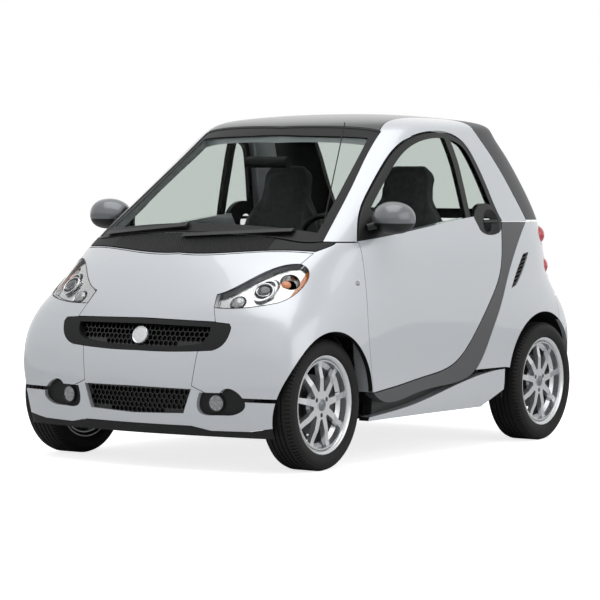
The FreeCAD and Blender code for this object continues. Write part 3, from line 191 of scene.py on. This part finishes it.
# red acrylic, moulded with fine prisms behind a smooth face
redLens = newMaterial("redLens", "#b80f1e", roughness=0.10, grainSize=3.0, grainDepth=0.1, mottle="#cf2030",
                      mottleSize=12.0, Coat_Weight=1.0, Coat_Roughness=0.02)

# carbon-black rubber with a dull bloom
tyreRubber = newMaterial("tyreRubber", "#0f0e0e", roughness=0.68, grainSize=0.9, grainDepth=0.05,
                         mottle="#151413", mottleSize=25.0, Specular_IOR_Level=0.3)

# cast wheel under silver lacquer, and the boss in the grille
wheelLacquer = newMaterial("wheelLacquer", "#c9cbcd", roughness=0.27, metallic=0.8, grainSize=1.2,
                           grainDepth=0.01, mottle="#d2d4d6", mottleSize=10.0, Coat_Weight=0.6,
                           Coat_Roughness=0.05)

# turned and cast iron, a little stained
castIron = newMaterial("castIron", "#4a4a4b", roughness=0.48, metallic=0.85, grainSize=2.0, grainDepth=0.08,
                       mottle="#57534f", mottleSize=14.0)

# black chassis paint on steel
chassisPaint = newMaterial("chassisPaint", "#17181a", roughness=0.5, grainSize=1.5, grainDepth=0.05,
                           mottle="#1f2022", mottleSize=30.0)

# zinc plate on the wheel bolts and the hub caps
boltZinc = newMaterial("boltZinc", "#7d8084", roughness=0.30, metallic=1.0, grainSize=0.8, grainDepth=0.01)


weave = {"thread": 2.4, "spread": 6.28, "depth": 0.0006, "strength": 0.6}


def clothWeave(name, hexCode):
    # plain weave drawn by two crossed waves, each about as long as an over and an under, with a little fuzz
    material = newMaterial(name, hexCode, roughness=0.92, mottle="#46494a", mottleSize=18.0, Sheen_Weight=0.35)
    tree = material.node_tree
    place = addNode(tree, "TexCoord")
    scale = 1000 / weave["thread"] / weave["spread"]
    along, up = (addNode(tree, "TexWave", {"Scale": scale, "bands_direction": way, "Vector": (place, "Object")})
                 for way in "XZ")
    height = addNode(tree, "Math", {"operation": "MAXIMUM"}, (along, "Fac"), (up, "Fac"))
    bump = addNode(tree, "Bump", {"Strength": weave["strength"], "Distance": weave["depth"], "Height": height})
    tree.links.new(bump.outputs["Normal"], tree.nodes["Principled BSDF"].inputs["Normal"])
    return material


seatCloth = clothWeave("seatCloth", "#37393a")


# Masks, 0 or 1 over a piece

screen = {"border": 0.040, "headerBorder": 0.055, "sideLean": -0.2507, "sideStart": 0.8584, "footCurve": -0.108,
          "footHeight": 1.011, "headerCurve": 0.38, "headerPlace": -0.2212}


def screenEdge(tree, parts):
    # 1 near the windscreen's glued edges: its sides, its foot and its header
    width = addNode(tree, "Math", {"operation": "ABSOLUTE"}, (parts, "X"))
    square = addNode(tree, "Math", {"operation": "MULTIPLY"}, (parts, "X"), (parts, "X"))
    sideLimit = addNode(tree, "Math", {"operation": "MULTIPLY_ADD"}, (parts, "Z"), screen["sideLean"],
                        screen["sideStart"] - screen["border"])
    side = addNode(tree, "Math", {"operation": "GREATER_THAN"}, width, sideLimit)
    footLimit = addNode(tree, "Math", {"operation": "MULTIPLY_ADD"}, square, screen["footCurve"],
                        screen["footHeight"] + screen["border"])
    foot = addNode(tree, "Math", {"operation": "LESS_THAN"}, (parts, "Z"), footLimit)
    headerLimit = addNode(tree, "Math", {"operation": "MULTIPLY_ADD"}, square, screen["headerCurve"],
                          screen["headerPlace"] - screen["headerBorder"])
    header = addNode(tree, "Math", {"operation": "GREATER_THAN"}, (parts, "Y"), headerLimit)
    lower = addNode(tree, "Math", {"operation": "MAXIMUM"}, side, foot)
    return addNode(tree, "Math", {"operation": "MAXIMUM"}, lower, header)


splits = {"mirrorFoot": 1.060, "lampAmber": 0.618}


def lowHalf(tree, parts):
    # 1 below the line where a mirror's black foot meets its painted shell
    return addNode(tree, "Math", {"operation": "LESS_THAN"}, (parts, "Z"), splits["mirrorFoot"])


def lampEnd(tree, parts):
    # 1 on the headlamp's outer end
    width = addNode(tree, "Math", {"operation": "ABSOLUTE"}, (parts, "X"))
    return addNode(tree, "Math", {"operation": "GREATER_THAN"}, width, splits["lampAmber"])


def fromAxle(tree, parts, axle):
    # how far a point is behind an axle, above it and away from it
    behind = addNode(tree, "Math", {"operation": "SUBTRACT"}, (parts, "Y"), axle["y"])
    above = addNode(tree, "Math", {"operation": "SUBTRACT"}, (parts, "Z"), axle["radius"])
    square = addNode(tree, "Math", {"operation": "MULTIPLY"}, above, above)
    square = addNode(tree, "Math", {"operation": "MULTIPLY_ADD"}, behind, behind, square)
    return behind, above, addNode(tree, "Math", {"operation": "SQRT"}, square)


brake = {"reach": 0.132, "face": 0.022}


def behindSpokes(axle):
    # 1 on the brake disc and hub behind the spokes
    def mask(tree, parts):
        away = fromAxle(tree, parts, axle)[2]
        near = addNode(tree, "Math", {"operation": "LESS_THAN"}, away, brake["reach"])
        width = addNode(tree, "Math", {"operation": "ABSOLUTE"}, (parts, "X"))
        inside = addNode(tree, "Math", {"operation": "LESS_THAN"}, width, axle["x"] + brake["face"])
        return addNode(tree, "Math", {"operation": "MULTIPLY"}, near, inside)
    return mask


arch = {"reach": {"front": 0.40, "rear": 0.42}, "facing": -0.3}


def archInside(tree, parts):
    # 1 on the walls that face an axle inside its wheel arch
    geometry = addNode(tree, "NewGeometry")
    turned = addNode(tree, "SeparateXYZ", {"Vector": (geometry, "Normal")})
    arches = []
    for end, reach in arch["reach"].items():
        behind, above, away = fromAxle(tree, parts, axles[end])
        facing = addNode(tree, "Math", {"operation": "MULTIPLY"}, above, (turned, "Z"))
        facing = addNode(tree, "Math", {"operation": "MULTIPLY_ADD"}, behind, (turned, "Y"), facing)
        facing = addNode(tree, "Math", {"operation": "DIVIDE"}, facing, away)
        toward = addNode(tree, "Math", {"operation": "LESS_THAN"}, facing, arch["facing"])
        near = addNode(tree, "Math", {"operation": "LESS_THAN"}, away, reach)
        arches.append(addNode(tree, "Math", {"operation": "MULTIPLY"}, toward, near))
    return addNode(tree, "Math", {"operation": "MAXIMUM"}, *arches)


cowlSlots = {"spacing": 9.0, "depth": 0.003, "slant": 0.6, "halfWidth": 0.42}


def slotted(name, base):
    # air slots drawn in relief across a panel's middle
    material = base.copy()
    material.name = name
    tree = material.node_tree
    place = addNode(tree, "TexCoord")
    parts = addNode(tree, "SeparateXYZ", {"Vector": (place, "Object")})
    across = addNode(tree, "Math", {"operation": "MULTIPLY_ADD"}, (parts, "Y"), cowlSlots["slant"], (parts, "X"))
    across = addNode(tree, "Math", {"operation": "MULTIPLY"}, across, math.tau * 1000 / cowlSlots["spacing"])
    wave = addNode(tree, "Math", {"operation": "SINE"}, across)
    width = addNode(tree, "Math", {"operation": "ABSOLUTE"}, (parts, "X"))
    middle = addNode(tree, "Math", {"operation": "LESS_THAN"}, width, cowlSlots["halfWidth"])
    height = addNode(tree, "Math", {"operation": "MULTIPLY"}, wave, middle)
    bump = addNode(tree, "Bump", {"Strength": 1.0, "Distance": cowlSlots["depth"], "Height": height})
    tree.links.new(bump.outputs["Normal"], tree.nodes["Principled BSDF"].inputs["Normal"])
    return material


archPaint = splitMaterial("archPaint", silverPaint, trimBlack, archInside)
slottedCowl = slotted("slottedCowl", grainedPlastic)
screenGlass = splitMaterial("screenGlass", windowGlass, frit, screenEdge)
mirrorShell = splitMaterial("mirrorShell", mirrorPaint, trimBlack, lowHalf)
lampInside = splitMaterial("lampInside", lampMirror, amberPlastic, lampEnd)
frontWheelFinish = splitMaterial("frontWheelFinish", wheelLacquer, castIron, behindSpokes(axles["front"]))
rearWheelFinish = splitMaterial("rearWheelFinish", wheelLacquer, castIron, behindSpokes(axles["rear"]))

finishes = {
    silverPaint: ["safety_cell", "bonnet", "rear_bumper", "tailgate", "door_left", "door_right"],
    archPaint: ["front_bumper", "front_wings", "rear_wings", "side_sills"],
    slottedCowl: ["cowl_panel"],
    greyPaint: ["lower_bands"],
    mirrorShell: ["mirror_left", "mirror_right"],
    roofBlack: ["roof_panel"],
    lidBlack: ["rear_hatch"],
    grainedPlastic: ["front_lip", "upper_grille_frame", "fog_lamp_pods", "dashboard",
                     "steering_wheel", "wheel_liners", "interior_mirror"],
    trimBlack: ["window_frame_left", "window_frame_right", "side_vents", "wipers", "aerial"],
    meshBlack: ["grilles"],
    screenGlass: ["windscreen"],
    windowGlass: ["side_glass_left", "side_glass_right", "hatch_glass"],
    lampCover: ["headlamp_lenses"],
    flutedLamp: ["fog_lamps"],
    lampInside: ["headlamps"],
    redLens: ["tail_lamps"],
    tyreRubber: ["front_tyre_left", "front_tyre_right", "rear_tyre_left", "rear_tyre_right"],
    frontWheelFinish: ["front_rim_left", "front_rim_right"],
    rearWheelFinish: ["rear_rim_left", "rear_rim_right"],
    castIron: ["knuckle_left", "knuckle_right", "engine_block", "exhaust"],
    chassisPaint: ["floor_pan", "front_frame", "rear_frame", "front_arms", "rear_axle"],
    seatCloth: ["seats"],
}
for material, names in finishes.items():
    for name in names:
        nodes[name].data.materials.clear()
        nodes[name].data.materials.append(material)
print("materials set")


# Making pieces

def finishPiece(name, bm, material, body):
    bmesh.ops.recalc_face_normals(bm, faces=bm.faces)
    mesh = bpy.data.meshes.new(name)
    bm.to_mesh(mesh)
    bm.free()
    mesh.materials.append(material)
    for face in mesh.polygons:
        face.use_smooth = True
    mesh.set_sharp_from_angle(angle=math.radians(sharpAngle))
    piece = bpy.data.objects.new(name, mesh)
    bpy.context.collection.objects.link(piece)
    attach(piece, body)
    return piece


def spun(points, centre, axis, steps):
    # an outline of (x, y, z) points turned all the way round
    bm = bmesh.new()
    verts = [bm.verts.new(point) for point in points]
    edges = [bm.edges.new(pair) for pair in zip(verts, verts[1:])]
    bmesh.ops.spin(bm, geom=verts + edges, cent=centre, axis=axis, dvec=(0, 0, 0), angle=math.tau, steps=steps,
                   use_merge=True)
    bmesh.ops.remove_doubles(bm, verts=bm.verts, dist=spinWeld)
    return bm


def hitPoint(nodeName, start, way):
    # where a line meets a CAD node, and the surface's direction there
    found, spot, normal, face = nodes[nodeName].ray_cast(Vector(start), Vector(way))
    if not found:
        raise ValueError("no line meets " + nodeName)
    return spot, normal


def hitFromAhead(nodeName, x, z):
    return hitPoint(nodeName, (x, -outside, z), (0, 1, 0))


def placed(spot, facing, drawn=(0, 0, 1)):
    # moves a shape drawn about the origin to a spot, its drawn way turned to face another
    return Matrix.Translation(spot) @ Vector(drawn).rotation_difference(facing).to_matrix().to_4x4()


def makeDome(name, place, radius, shape, segments, material):
    # a ball with its three half sizes as shares of its radius
    bm = bmesh.new()
    bmesh.ops.create_uvsphere(bm, u_segments=segments, v_segments=segments // 2, radius=radius,
                              matrix=place @ Matrix.Diagonal((*shape, 1)))
    finishPiece(name, bm, material, "body")


def makeTurned(name, place, profile, steps, material):
    # (reach, height) points turned about the drawn way
    bm = spun([(reach, 0, height) for reach, height in profile], (0, 0, 0), (0, 0, 1), steps)
    bmesh.ops.transform(bm, matrix=place, verts=bm.verts)
    finishPiece(name, bm, material, "body")


def makeRing(name, place, reach, tube, facets, material):
    # a round bead, four times as fine along its length as round its section
    angles = [math.tau * k / facets for k in range(facets + 1)]
    profile = [(reach + tube * math.cos(angle), tube * math.sin(angle)) for angle in angles]
    makeTurned(name, place, profile, facets * 4, material)


# Tyres

tyre = {
    "beadRadius": 0.2115,
    "beadInset": 0.014,
    "beadCurve": (0.004, 0.006),  # up from the bead and out from it
    "bulge": (0.016, 0.0015),  # up from the bead and in from the widest place
    # in from the tread and in from the widest place
    "wall": ((0.036, 0.0), (0.024, 0.0020), (0.022, 0.0035), (0.012, 0.0085), (0.004, 0.016)),
    "treadInset": 0.028,
    "grooves": (0.034, 0.011, -0.011, -0.034),
    "grooveDepth": 0.0065,
    "grooveWidth": 0.007,
    "grooveFoot": 0.7,  # share of its width that a groove keeps at its foot
    "steps": 288,
    "cutEvery": 3,
    "cutBand": (0.030, 0.010),  # the shoulder's inner and outer limit, in from the widest place
    "cutStart": 0.014,
    "cutEdge": 0.0008,
    "cutDepth": 0.004,
}


def makeTyre(place, body, centre, radius, width):
    half = width / 2
    bead, edge = tyre["beadRadius"], half - tyre["beadInset"]
    outline = [(bead, edge), (bead + tyre["beadCurve"][0], edge + tyre["beadCurve"][1]),
               (bead + tyre["bulge"][0], half - tyre["bulge"][1])]
    outline += [(radius - drop, half - inset) for drop, inset in tyre["wall"]]
    tread = [(radius, half - tyre["treadInset"])]
    w, d = tyre["grooveWidth"] / 2, tyre["grooveDepth"]
    foot = w * tyre["grooveFoot"]
    for middle in tyre["grooves"]:
        tread += [(radius, middle + w), (radius - d, middle + foot),
                  (radius - d, middle - foot), (radius, middle - w)]
    tread.append((radius, -half + tyre["treadInset"]))
    outline = outline + tread + [(r, -x) for r, x in reversed(outline)]
    x, y, z = centre
    bm = spun([(x + offset, y, z + r) for r, offset in outline + outline[:1]], centre, (1, 0, 0), tyre["steps"])
    # short cuts across the shoulders
    lugs = []
    for face in bm.faces:
        middle = face.calc_center_median()
        onShoulder = half - tyre["cutBand"][0] < abs(middle.x - x) < half - tyre["cutBand"][1]
        turn = math.atan2(middle.z - z, middle.y - y) / math.tau * tyre["steps"]
        if (onShoulder and math.hypot(middle.y - y, middle.z - z) > radius - tyre["cutStart"]
                and math.floor(turn) % tyre["cutEvery"] == 0):
            lugs.append(face)
    bmesh.ops.inset_individual(bm, faces=lugs, thickness=tyre["cutEdge"], depth=-tyre["cutDepth"])
    piece = finishPiece("tyre_" + place, bm, tyreRubber, body)
    nodeName = place.replace("_", "_tyre_")
    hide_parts(nodeName)


for place, (body, centre, radius, width) in wheels.items():
    makeTyre(place, body, centre, radius, width)
print("tyres made")


# Wheel centres

wheelCentre = {
    "capRadius": 0.0255,
    "capFace": 0.0592,
    # share of the cap's radius, and its height there
    "capProfile": ((0.0, 0.0035), (0.55, 0.0030), (0.66, 0.0012), (0.74, 0.0012), (0.82, 0.0028), (0.94, 0.0022),
                   (1.0, 0.0)),
    "capSteps": 48,
    "lip": 0.2135,
    # in from the lip's radius, and in from the tyre's widest place
    "flangeProfile": ((0.0, 0.0115), (0.001, 0.0090), (0.004, 0.0085), (0.012, 0.0125), (0.018, 0.0200),
                      (0.023, 0.0360), (0.019, 0.0380), (0.006, 0.0260), (0.0, 0.0115)),
    "flangeSteps": 96,
    "boltCount": 3,
    "boltTurn": 1 / 6,
    "boltReach": 0.044,
    "boltRadius": 0.0085,
    "boltRoot": 0.0425,
    "boltFace": 0.048,
    "boltEdge": 0.0009,
}


def makeWheelCentre(place, body, centre, width):
    side = 1 if centre[0] > 0 else -1
    x, y, z = centre
    face = x + side * wheelCentre["capFace"]
    cap = [(face + side * rise, y, z + wheelCentre["capRadius"] * share) for share, rise in wheelCentre["capProfile"]]
    finishPiece("wheelCap_" + place, spun(cap, centre, (1, 0, 0), wheelCentre["capSteps"]), boltZinc, body)
    outer = abs(x) + width / 2
    flange = [(side * (outer - inset), y, z + (wheelCentre["lip"] - drop))
              for drop, inset in wheelCentre["flangeProfile"]]
    finishPiece("rimFlange_" + place, spun(flange, centre, (1, 0, 0), wheelCentre["flangeSteps"]), wheelLacquer, body)
    bm = bmesh.new()
    length = wheelCentre["boltFace"] - wheelCentre["boltRoot"]
    for i in range(wheelCentre["boltCount"]):
        turn = math.tau * (i / wheelCentre["boltCount"] + wheelCentre["boltTurn"])
        spot = Vector((x + side * wheelCentre["boltRoot"], y - side * math.sin(turn) * wheelCentre["boltReach"],
                       z + math.cos(turn) * wheelCentre["boltReach"]))
        made = bmesh.ops.create_cone(bm, cap_ends=True, segments=6, radius1=wheelCentre["boltRadius"],
                                     radius2=wheelCentre["boltRadius"], depth=length,
                                     matrix=Matrix.Translation(spot + Vector((side * length / 2, 0, 0)))
                                     @ Matrix.Rotation(math.pi / 2, 4, "Y"))
        bmesh.ops.bevel(bm, geom=list({edge for vert in made["verts"] for edge in vert.link_edges}),
                        offset=wheelCentre["boltEdge"], offset_type="OFFSET", segments=2, profile=0.5,
                        affect="EDGES", material=-1)
    finishPiece("wheelBolts_" + place, bm, boltZinc, body)


for place, (body, centre, radius, width) in wheels.items():
    makeWheelCentre(place, body, centre, width)
print("wheel centres made")


# Headlamp insides

projector = {"x": 0.522, "z": 0.774, "sink": 0.0125, "lean": -0.2, "lens": 0.031, "lensFlat": 0.35,
             "lensSegments": 40, "ringGap": 0.003, "ringTube": 0.0035, "bezel": 0.043, "bezelTube": 0.0055,
             "facets": 16}
lampBulbs = {
    "highBeam": {"x": 0.430, "z": 0.735, "radius": 0.030, "finish": flutedLamp},
    "indicator": {"x": 0.590, "z": 0.812, "radius": 0.022, "finish": amberPlastic},
}
bulbSink = 0.024
bulbFlat = 0.5
seal = {"lamp": 0.0035, "screen": 0.006, "facing": 0.35, "turn": 48, "shortest": 4, "resolution": 2}


def makeProjector(sideName, side):
    spot, normal = hitFromAhead("headlamp_lenses", side * projector["x"], projector["z"])
    facing = (normal + Vector((0, projector["lean"], 0))).normalized()
    place = placed(spot - facing * projector["sink"], facing)
    makeDome("projectorLens_" + sideName, place, projector["lens"], (1, 1, projector["lensFlat"]),
             projector["lensSegments"], projectorGlass)
    makeRing("projectorRing_" + sideName, place, projector["lens"] + projector["ringGap"], projector["ringTube"],
             projector["facets"], trimBlack)
    makeRing("projectorBezel_" + sideName, place, projector["bezel"], projector["bezelTube"], projector["facets"],
             lampMirror)


def makeLampBulb(name, sideName, side):
    # a flattened dome standing in its reflector bowl
    bulb = lampBulbs[name]
    spot, normal = hitFromAhead("headlamp_lenses", side * bulb["x"], bulb["z"])
    makeDome(name + "_" + sideName, placed(spot - normal * bulbSink, normal), bulb["radius"], (1, 1, bulbFlat),
             domeSegments, bulb["finish"])


def keepRim(bm, facing):
    # leaves only the edges where the outer face turns to its side wall
    def outward(face):
        way = Vector(facing)
        way.x = math.copysign(way.x, face.calc_center_median().x)
        return face.normal.dot(way.normalized()) > seal["facing"]

    rim = {edge for edge in bm.edges if len(edge.link_faces) == 2
           and edge.calc_face_angle() > math.radians(seal["turn"])
           and any(outward(face) for face in edge.link_faces)}
    bmesh.ops.delete(bm, geom=[edge for edge in bm.edges if edge not in rim], context="EDGES_FACES")
    bmesh.ops.delete(bm, geom=[vert for vert in bm.verts if not vert.link_edges], context="VERTS")


def chainsOf(bm):
    # the edges joined end to end, as lists of points
    left = set(bm.edges)
    chains = []
    while left:
        chain = list(left.pop().verts)
        for end in (-1, 0):
            while True:
                onward = [edge for edge in chain[end].link_edges if edge in left]
                if not onward:
                    break
                left.discard(onward[0])
                nextVert = onward[0].other_vert(chain[end])
                chain = chain + [nextVert] if end == -1 else [nextVert] + chain
        chains.append([(*vert.co, 1) for vert in chain])
    return chains


def makeSeal(name, nodeName, facing, thickness):
    # a thin bead along the outer rim of a CAD node
    bm = bmesh.new()
    bm.from_mesh(nodes[nodeName].data)
    bmesh.ops.remove_doubles(bm, verts=bm.verts, dist=cadWeld)
    bm.normal_update()
    keepRim(bm, facing)
    curve = bpy.data.curves.new(name, "CURVE")
    curve.dimensions = "3D"
    curve.bevel_depth = thickness / 2
    curve.bevel_resolution = seal["resolution"]
    for chain in chainsOf(bm):
        if len(chain) >= seal["shortest"]:
            spline = curve.splines.new("POLY")
            spline.points.add(len(chain) - 1)
            for point, spot in zip(spline.points, chain):
                point.co = spot
    bm.free()
    line = bpy.data.objects.new(name, curve)
    bpy.context.collection.objects.link(line)
    bpy.context.view_layer.update()
    tube = bpy.data.meshes.new_from_object(line.evaluated_get(bpy.context.evaluated_depsgraph_get()))
    bpy.data.objects.remove(line)
    bm = bmesh.new()
    bm.from_mesh(tube)
    finishPiece(name, bm, trimBlack, "body")


makeSeal("lampSeal", "headlamp_lenses", (0.35, -0.7, 0.6), seal["lamp"])
makeSeal("screenSeal", "windscreen", (0.0, -0.6, 0.8), seal["screen"])
for sideName, side in sides.items():
    makeProjector(sideName, side)
    for name in lampBulbs:
        makeLampBulb(name, sideName, side)
print("headlamps made")


# Fog lamps

fogLamp = {"x": 0.396, "z": 0.2977, "bezel": 0.036, "tube": 0.0035, "facets": 12}


def makeFogLamp(sideName, side):
    spot, normal = hitFromAhead("fog_lamps", side * fogLamp["x"], fogLamp["z"])
    makeRing("fogBezel_" + sideName, placed(spot, normal), fogLamp["bezel"], fogLamp["tube"], fogLamp["facets"],
             trimBlack)


for sideName, side in sides.items():
    makeFogLamp(sideName, side)
print("fog lamps made")


# Round boss in the grille, left bare

grilleBoss = {"z": 0.575, "leanFrom": 0.524, "leanTo": 0.630, "outer": 0.040, "depth": 0.012, "sink": 0.004,
              "crown": 0.004, "bead": 0.005, "step": 0.001, "rounding": 0.0006, "steps": 72}


def makeGrilleBoss():
    # it lies in the line between two places on the frame and leans as they do
    low = hitFromAhead("upper_grille_frame", 0, grilleBoss["leanFrom"])[0]
    high = hitFromAhead("upper_grille_frame", 0, grilleBoss["leanTo"])[0]
    centre = low.lerp(high, (grilleBoss["z"] - low.z) / (high.z - low.z))
    facing = Vector((0, -(high.z - low.z), high.y - low.y)).normalized()
    outer, depth, crown, bead = (grilleBoss[name] for name in ("outer", "depth", "crown", "bead"))
    outline = [(0.0, crown), (outer * 0.5, crown * 0.8), (outer - 2 * bead, crown * 0.2), (outer - 1.5 * bead, 0.0),
               (outer - bead, grilleBoss["step"]), (outer - bead / 2, bead * 0.6),
               (outer - grilleBoss["rounding"], bead * 0.3), (outer, 0.0), (outer, -depth), (0.0, -depth)]
    place = placed(centre - facing * grilleBoss["sink"], facing)
    makeTurned("grilleBoss", place, outline, grilleBoss["steps"], wheelLacquer)


makeGrilleBoss()
print("grille boss made")


# Side marker lamps on the front wings

marker = {"y": -0.705, "z": 0.800, "long": 0.016, "high": 0.011, "rise": 0.004}


def makeMarker(sideName, side):
    spot, normal = hitPoint("front_wings", (side * outside, marker["y"], marker["z"]), (-side, 0, 0))
    makeDome("markerLamp_" + sideName, placed(spot, normal, (1, 0, 0)), 1.0,
             (marker["rise"], marker["long"], marker["high"]), domeSegments, flutedLamp)


for sideName, side in sides.items():
    makeMarker(sideName, side)
print("markers made")


# Seats

seat = {
    "x": 0.345,
    "voxel": 0.009,
    "smoothings": 8,
    "smoothing": 0.6,
    "shrink": 0.006,
    "bolster": 0.024,
    "bolsterStart": 0.13,
    "bolsterBlend": 0.05,
    "cushionTop": 0.66,
    "backFoot": 0.62,
    "pressure": 4.0,
    "quality": 4,
    "frames": 20,
    "cap": 0.016,
}


def cushionMesh():
    # the left seat's form, drawn in a little, with raised bolsters along both edges
    bm = bmesh.new()
    bm.from_mesh(nodes["seats"].data)
    bmesh.ops.remove_doubles(bm, verts=bm.verts, dist=cadWeld)
    bmesh.ops.delete(bm, geom=[vert for vert in bm.verts if vert.co.x < 0], context="VERTS")
    mesh = bpy.data.meshes.new("seatStart")
    bm.to_mesh(mesh)
    bm.free()
    start = bpy.data.objects.new("seatStart", mesh)
    bpy.context.collection.objects.link(start)
    remesh = start.modifiers.new("even", "REMESH")
    remesh.mode = "VOXEL"
    remesh.voxel_size = seat["voxel"]
    smooth = start.modifiers.new("soft", "SMOOTH")
    smooth.iterations = seat["smoothings"]
    smooth.factor = seat["smoothing"]
    bpy.context.view_layer.update()
    graph = bpy.context.evaluated_depsgraph_get()
    even = bpy.data.meshes.new_from_object(start.evaluated_get(graph))
    bpy.data.objects.remove(start)
    bm = bmesh.new()
    bm.from_mesh(even)
    bm.normal_update()
    for vert in bm.verts:
        offset = abs(vert.co.x - seat["x"])
        back = max(0.0, -vert.normal.y) * (vert.co.z > seat["backFoot"])
        cushion = max(0.0, vert.normal.z) * (vert.co.z < seat["cushionTop"])
        raised = max(0.0, min(1.0, (offset - seat["bolsterStart"]) / seat["bolsterBlend"]))
        vert.co += vert.normal * (raised * seat["bolster"] * (back + cushion) - seat["shrink"])
    bm.to_mesh(even)
    bm.free()
    return even


def puffed(mesh):
    # the cloth swells under a little pressure, and no point moves further than the cap
    form = bpy.data.objects.new("seatCloth", mesh)
    bpy.context.collection.objects.link(form)
    cloth = form.modifiers.new("cloth", "CLOTH")
    cloth.settings.use_pressure = True
    cloth.settings.uniform_pressure_force = seat["pressure"]
    cloth.settings.effector_weights.gravity = 0
    cloth.settings.quality = seat["quality"]
    cloth.point_cache.frame_start, cloth.point_cache.frame_end = 1, seat["frames"]
    for number in range(1, seat["frames"] + 1):
        bpy.context.scene.frame_set(number)
    graph = bpy.context.evaluated_depsgraph_get()
    swollen = bpy.data.meshes.new_from_object(form.evaluated_get(graph))
    for before, after in zip(mesh.vertices, swollen.vertices):
        move = after.co - before.co
        if move.length > seat["cap"]:
            after.co = before.co + move * (seat["cap"] / move.length)
    bpy.context.scene.frame_set(1)
    bpy.data.objects.remove(form)
    return swollen


def makeSeats():
    mesh = cushionMesh()
    mesh = puffed(mesh)
    for sideName, side in sides.items():
        bm = bmesh.new()
        bm.from_mesh(mesh)
        if side < 0:
            bmesh.ops.scale(bm, vec=(-1, 1, 1), verts=bm.verts)
            bmesh.ops.reverse_faces(bm, faces=bm.faces)
        piece = finishPiece("seat_" + sideName, bm, seatCloth, "body")
        modifier = piece.modifiers.new("soften", "SUBSURF")
        modifier.levels = modifier.render_levels = 1
    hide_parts("seats")
    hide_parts("seats")


makeSeats()
print("seats made")


# Studio

studio = {
    "cameraPlace": (6.6231, -10.0595, 1.1735),
    "cameraTurn": 33.38,
    "cameraDip": 2.22,
    "cameraRoll": -0.56,
    "lens": 153.0,
    "shift": (-0.0110, -0.0076),
    "viewDepth": 200,
    "lamps": {
        "topBox": ((0.5, -1.0, 6.0), (6.0, 6.0), 180.0),
        "noseBox": ((1.5, -7.0, 3.2), (7.0, 4.0), 14.0),
        "flankBox": ((7.0, 0.5, 2.8), (7.0, 4.0), 80.0),
    },
    "lampAim": (0, 0, 0.6),
    "worldStrength": 0.42,
    "floorSize": 60.0,
    "floorTone": "#f2f2f2",
    "floorGlow": 0.78,
}


def makeCamera():
    camera = bpy.data.objects.new("camera", bpy.data.cameras.new("camera"))
    bpy.context.collection.objects.link(camera)
    camera.location = studio["cameraPlace"]
    camera.rotation_euler = (math.radians(90 - studio["cameraDip"]), math.radians(studio["cameraRoll"]),
                             math.radians(studio["cameraTurn"]))
    camera.data.lens = studio["lens"]
    camera.data.shift_x, camera.data.shift_y = studio["shift"]
    camera.data.clip_end = studio["viewDepth"]
    bpy.context.scene.camera = camera


def makeLamps():
    for name, (place, size, power) in studio["lamps"].items():
        lamp = bpy.data.objects.new(name, bpy.data.lights.new(name, "AREA"))
        bpy.context.collection.objects.link(lamp)
        lamp.data.shape = "RECTANGLE"
        lamp.data.size, lamp.data.size_y = size
        lamp.data.energy = power
        lamp.location = place
        aim = Vector(studio["lampAim"]) - lamp.location
        lamp.rotation_euler = aim.to_track_quat("-Z", "Y").to_euler()


def makeWorld():
    # soft light all round, and white where the camera, glass or gloss looks past the car
    world = bpy.data.worlds.new("studioWorld")
    bpy.context.scene.world = world
    world.use_nodes = True
    tree = world.node_tree
    background = tree.nodes["Background"]
    background.inputs["Color"].default_value = (1, 1, 1, 1)
    background.inputs["Strength"].default_value = studio["worldStrength"]
    path = addNode(tree, "LightPath")
    seen = addNode(tree, "Math", {"operation": "MAXIMUM"}, (path, "Is Camera Ray"), (path, "Is Glossy Ray"))
    seen = addNode(tree, "Math", {"operation": "MAXIMUM"}, seen, (path, "Is Transmission Ray"))
    white = addNode(tree, "Background", {"Color": (1, 1, 1, 1), "Strength": 1.0})
    mix = addNode(tree, "MixShader", None, seen, background, white)
    tree.links.new(mix.outputs[0], tree.nodes["World Output"].inputs["Surface"])


def makeFloor():
    # pale paper that the camera sees lifted to near white, with the car's shadow on it
    bm = bmesh.new()
    bmesh.ops.create_grid(bm, x_segments=1, y_segments=1, size=studio["floorSize"] / 2)
    mesh = bpy.data.meshes.new("studioFloor")
    bm.to_mesh(mesh)
    bm.free()
    floor = bpy.data.objects.new("studioFloor", mesh)
    bpy.context.collection.objects.link(floor)
    paper = newMaterial("floorPaper", studio["floorTone"], roughness=0.9)
    tree = paper.node_tree
    shader = tree.nodes["Principled BSDF"]
    path = addNode(tree, "LightPath")
    glow = addNode(tree, "Emission", {"Color": (1, 1, 1, 1), "Strength": studio["floorGlow"]})
    lifted = addNode(tree, "AddShader", None, shader, glow)
    mix = addNode(tree, "MixShader", None, (path, "Is Camera Ray"), shader, lifted)
    tree.links.new(mix.outputs[0], tree.nodes["Material Output"].inputs["Surface"])
    mesh.materials.append(paper)


makeCamera()
makeLamps()
makeWorld()
makeFloor()
bpy.context.scene.view_settings.view_transform = "Standard"
print("studio built")

bpy.context.view_layer.update()
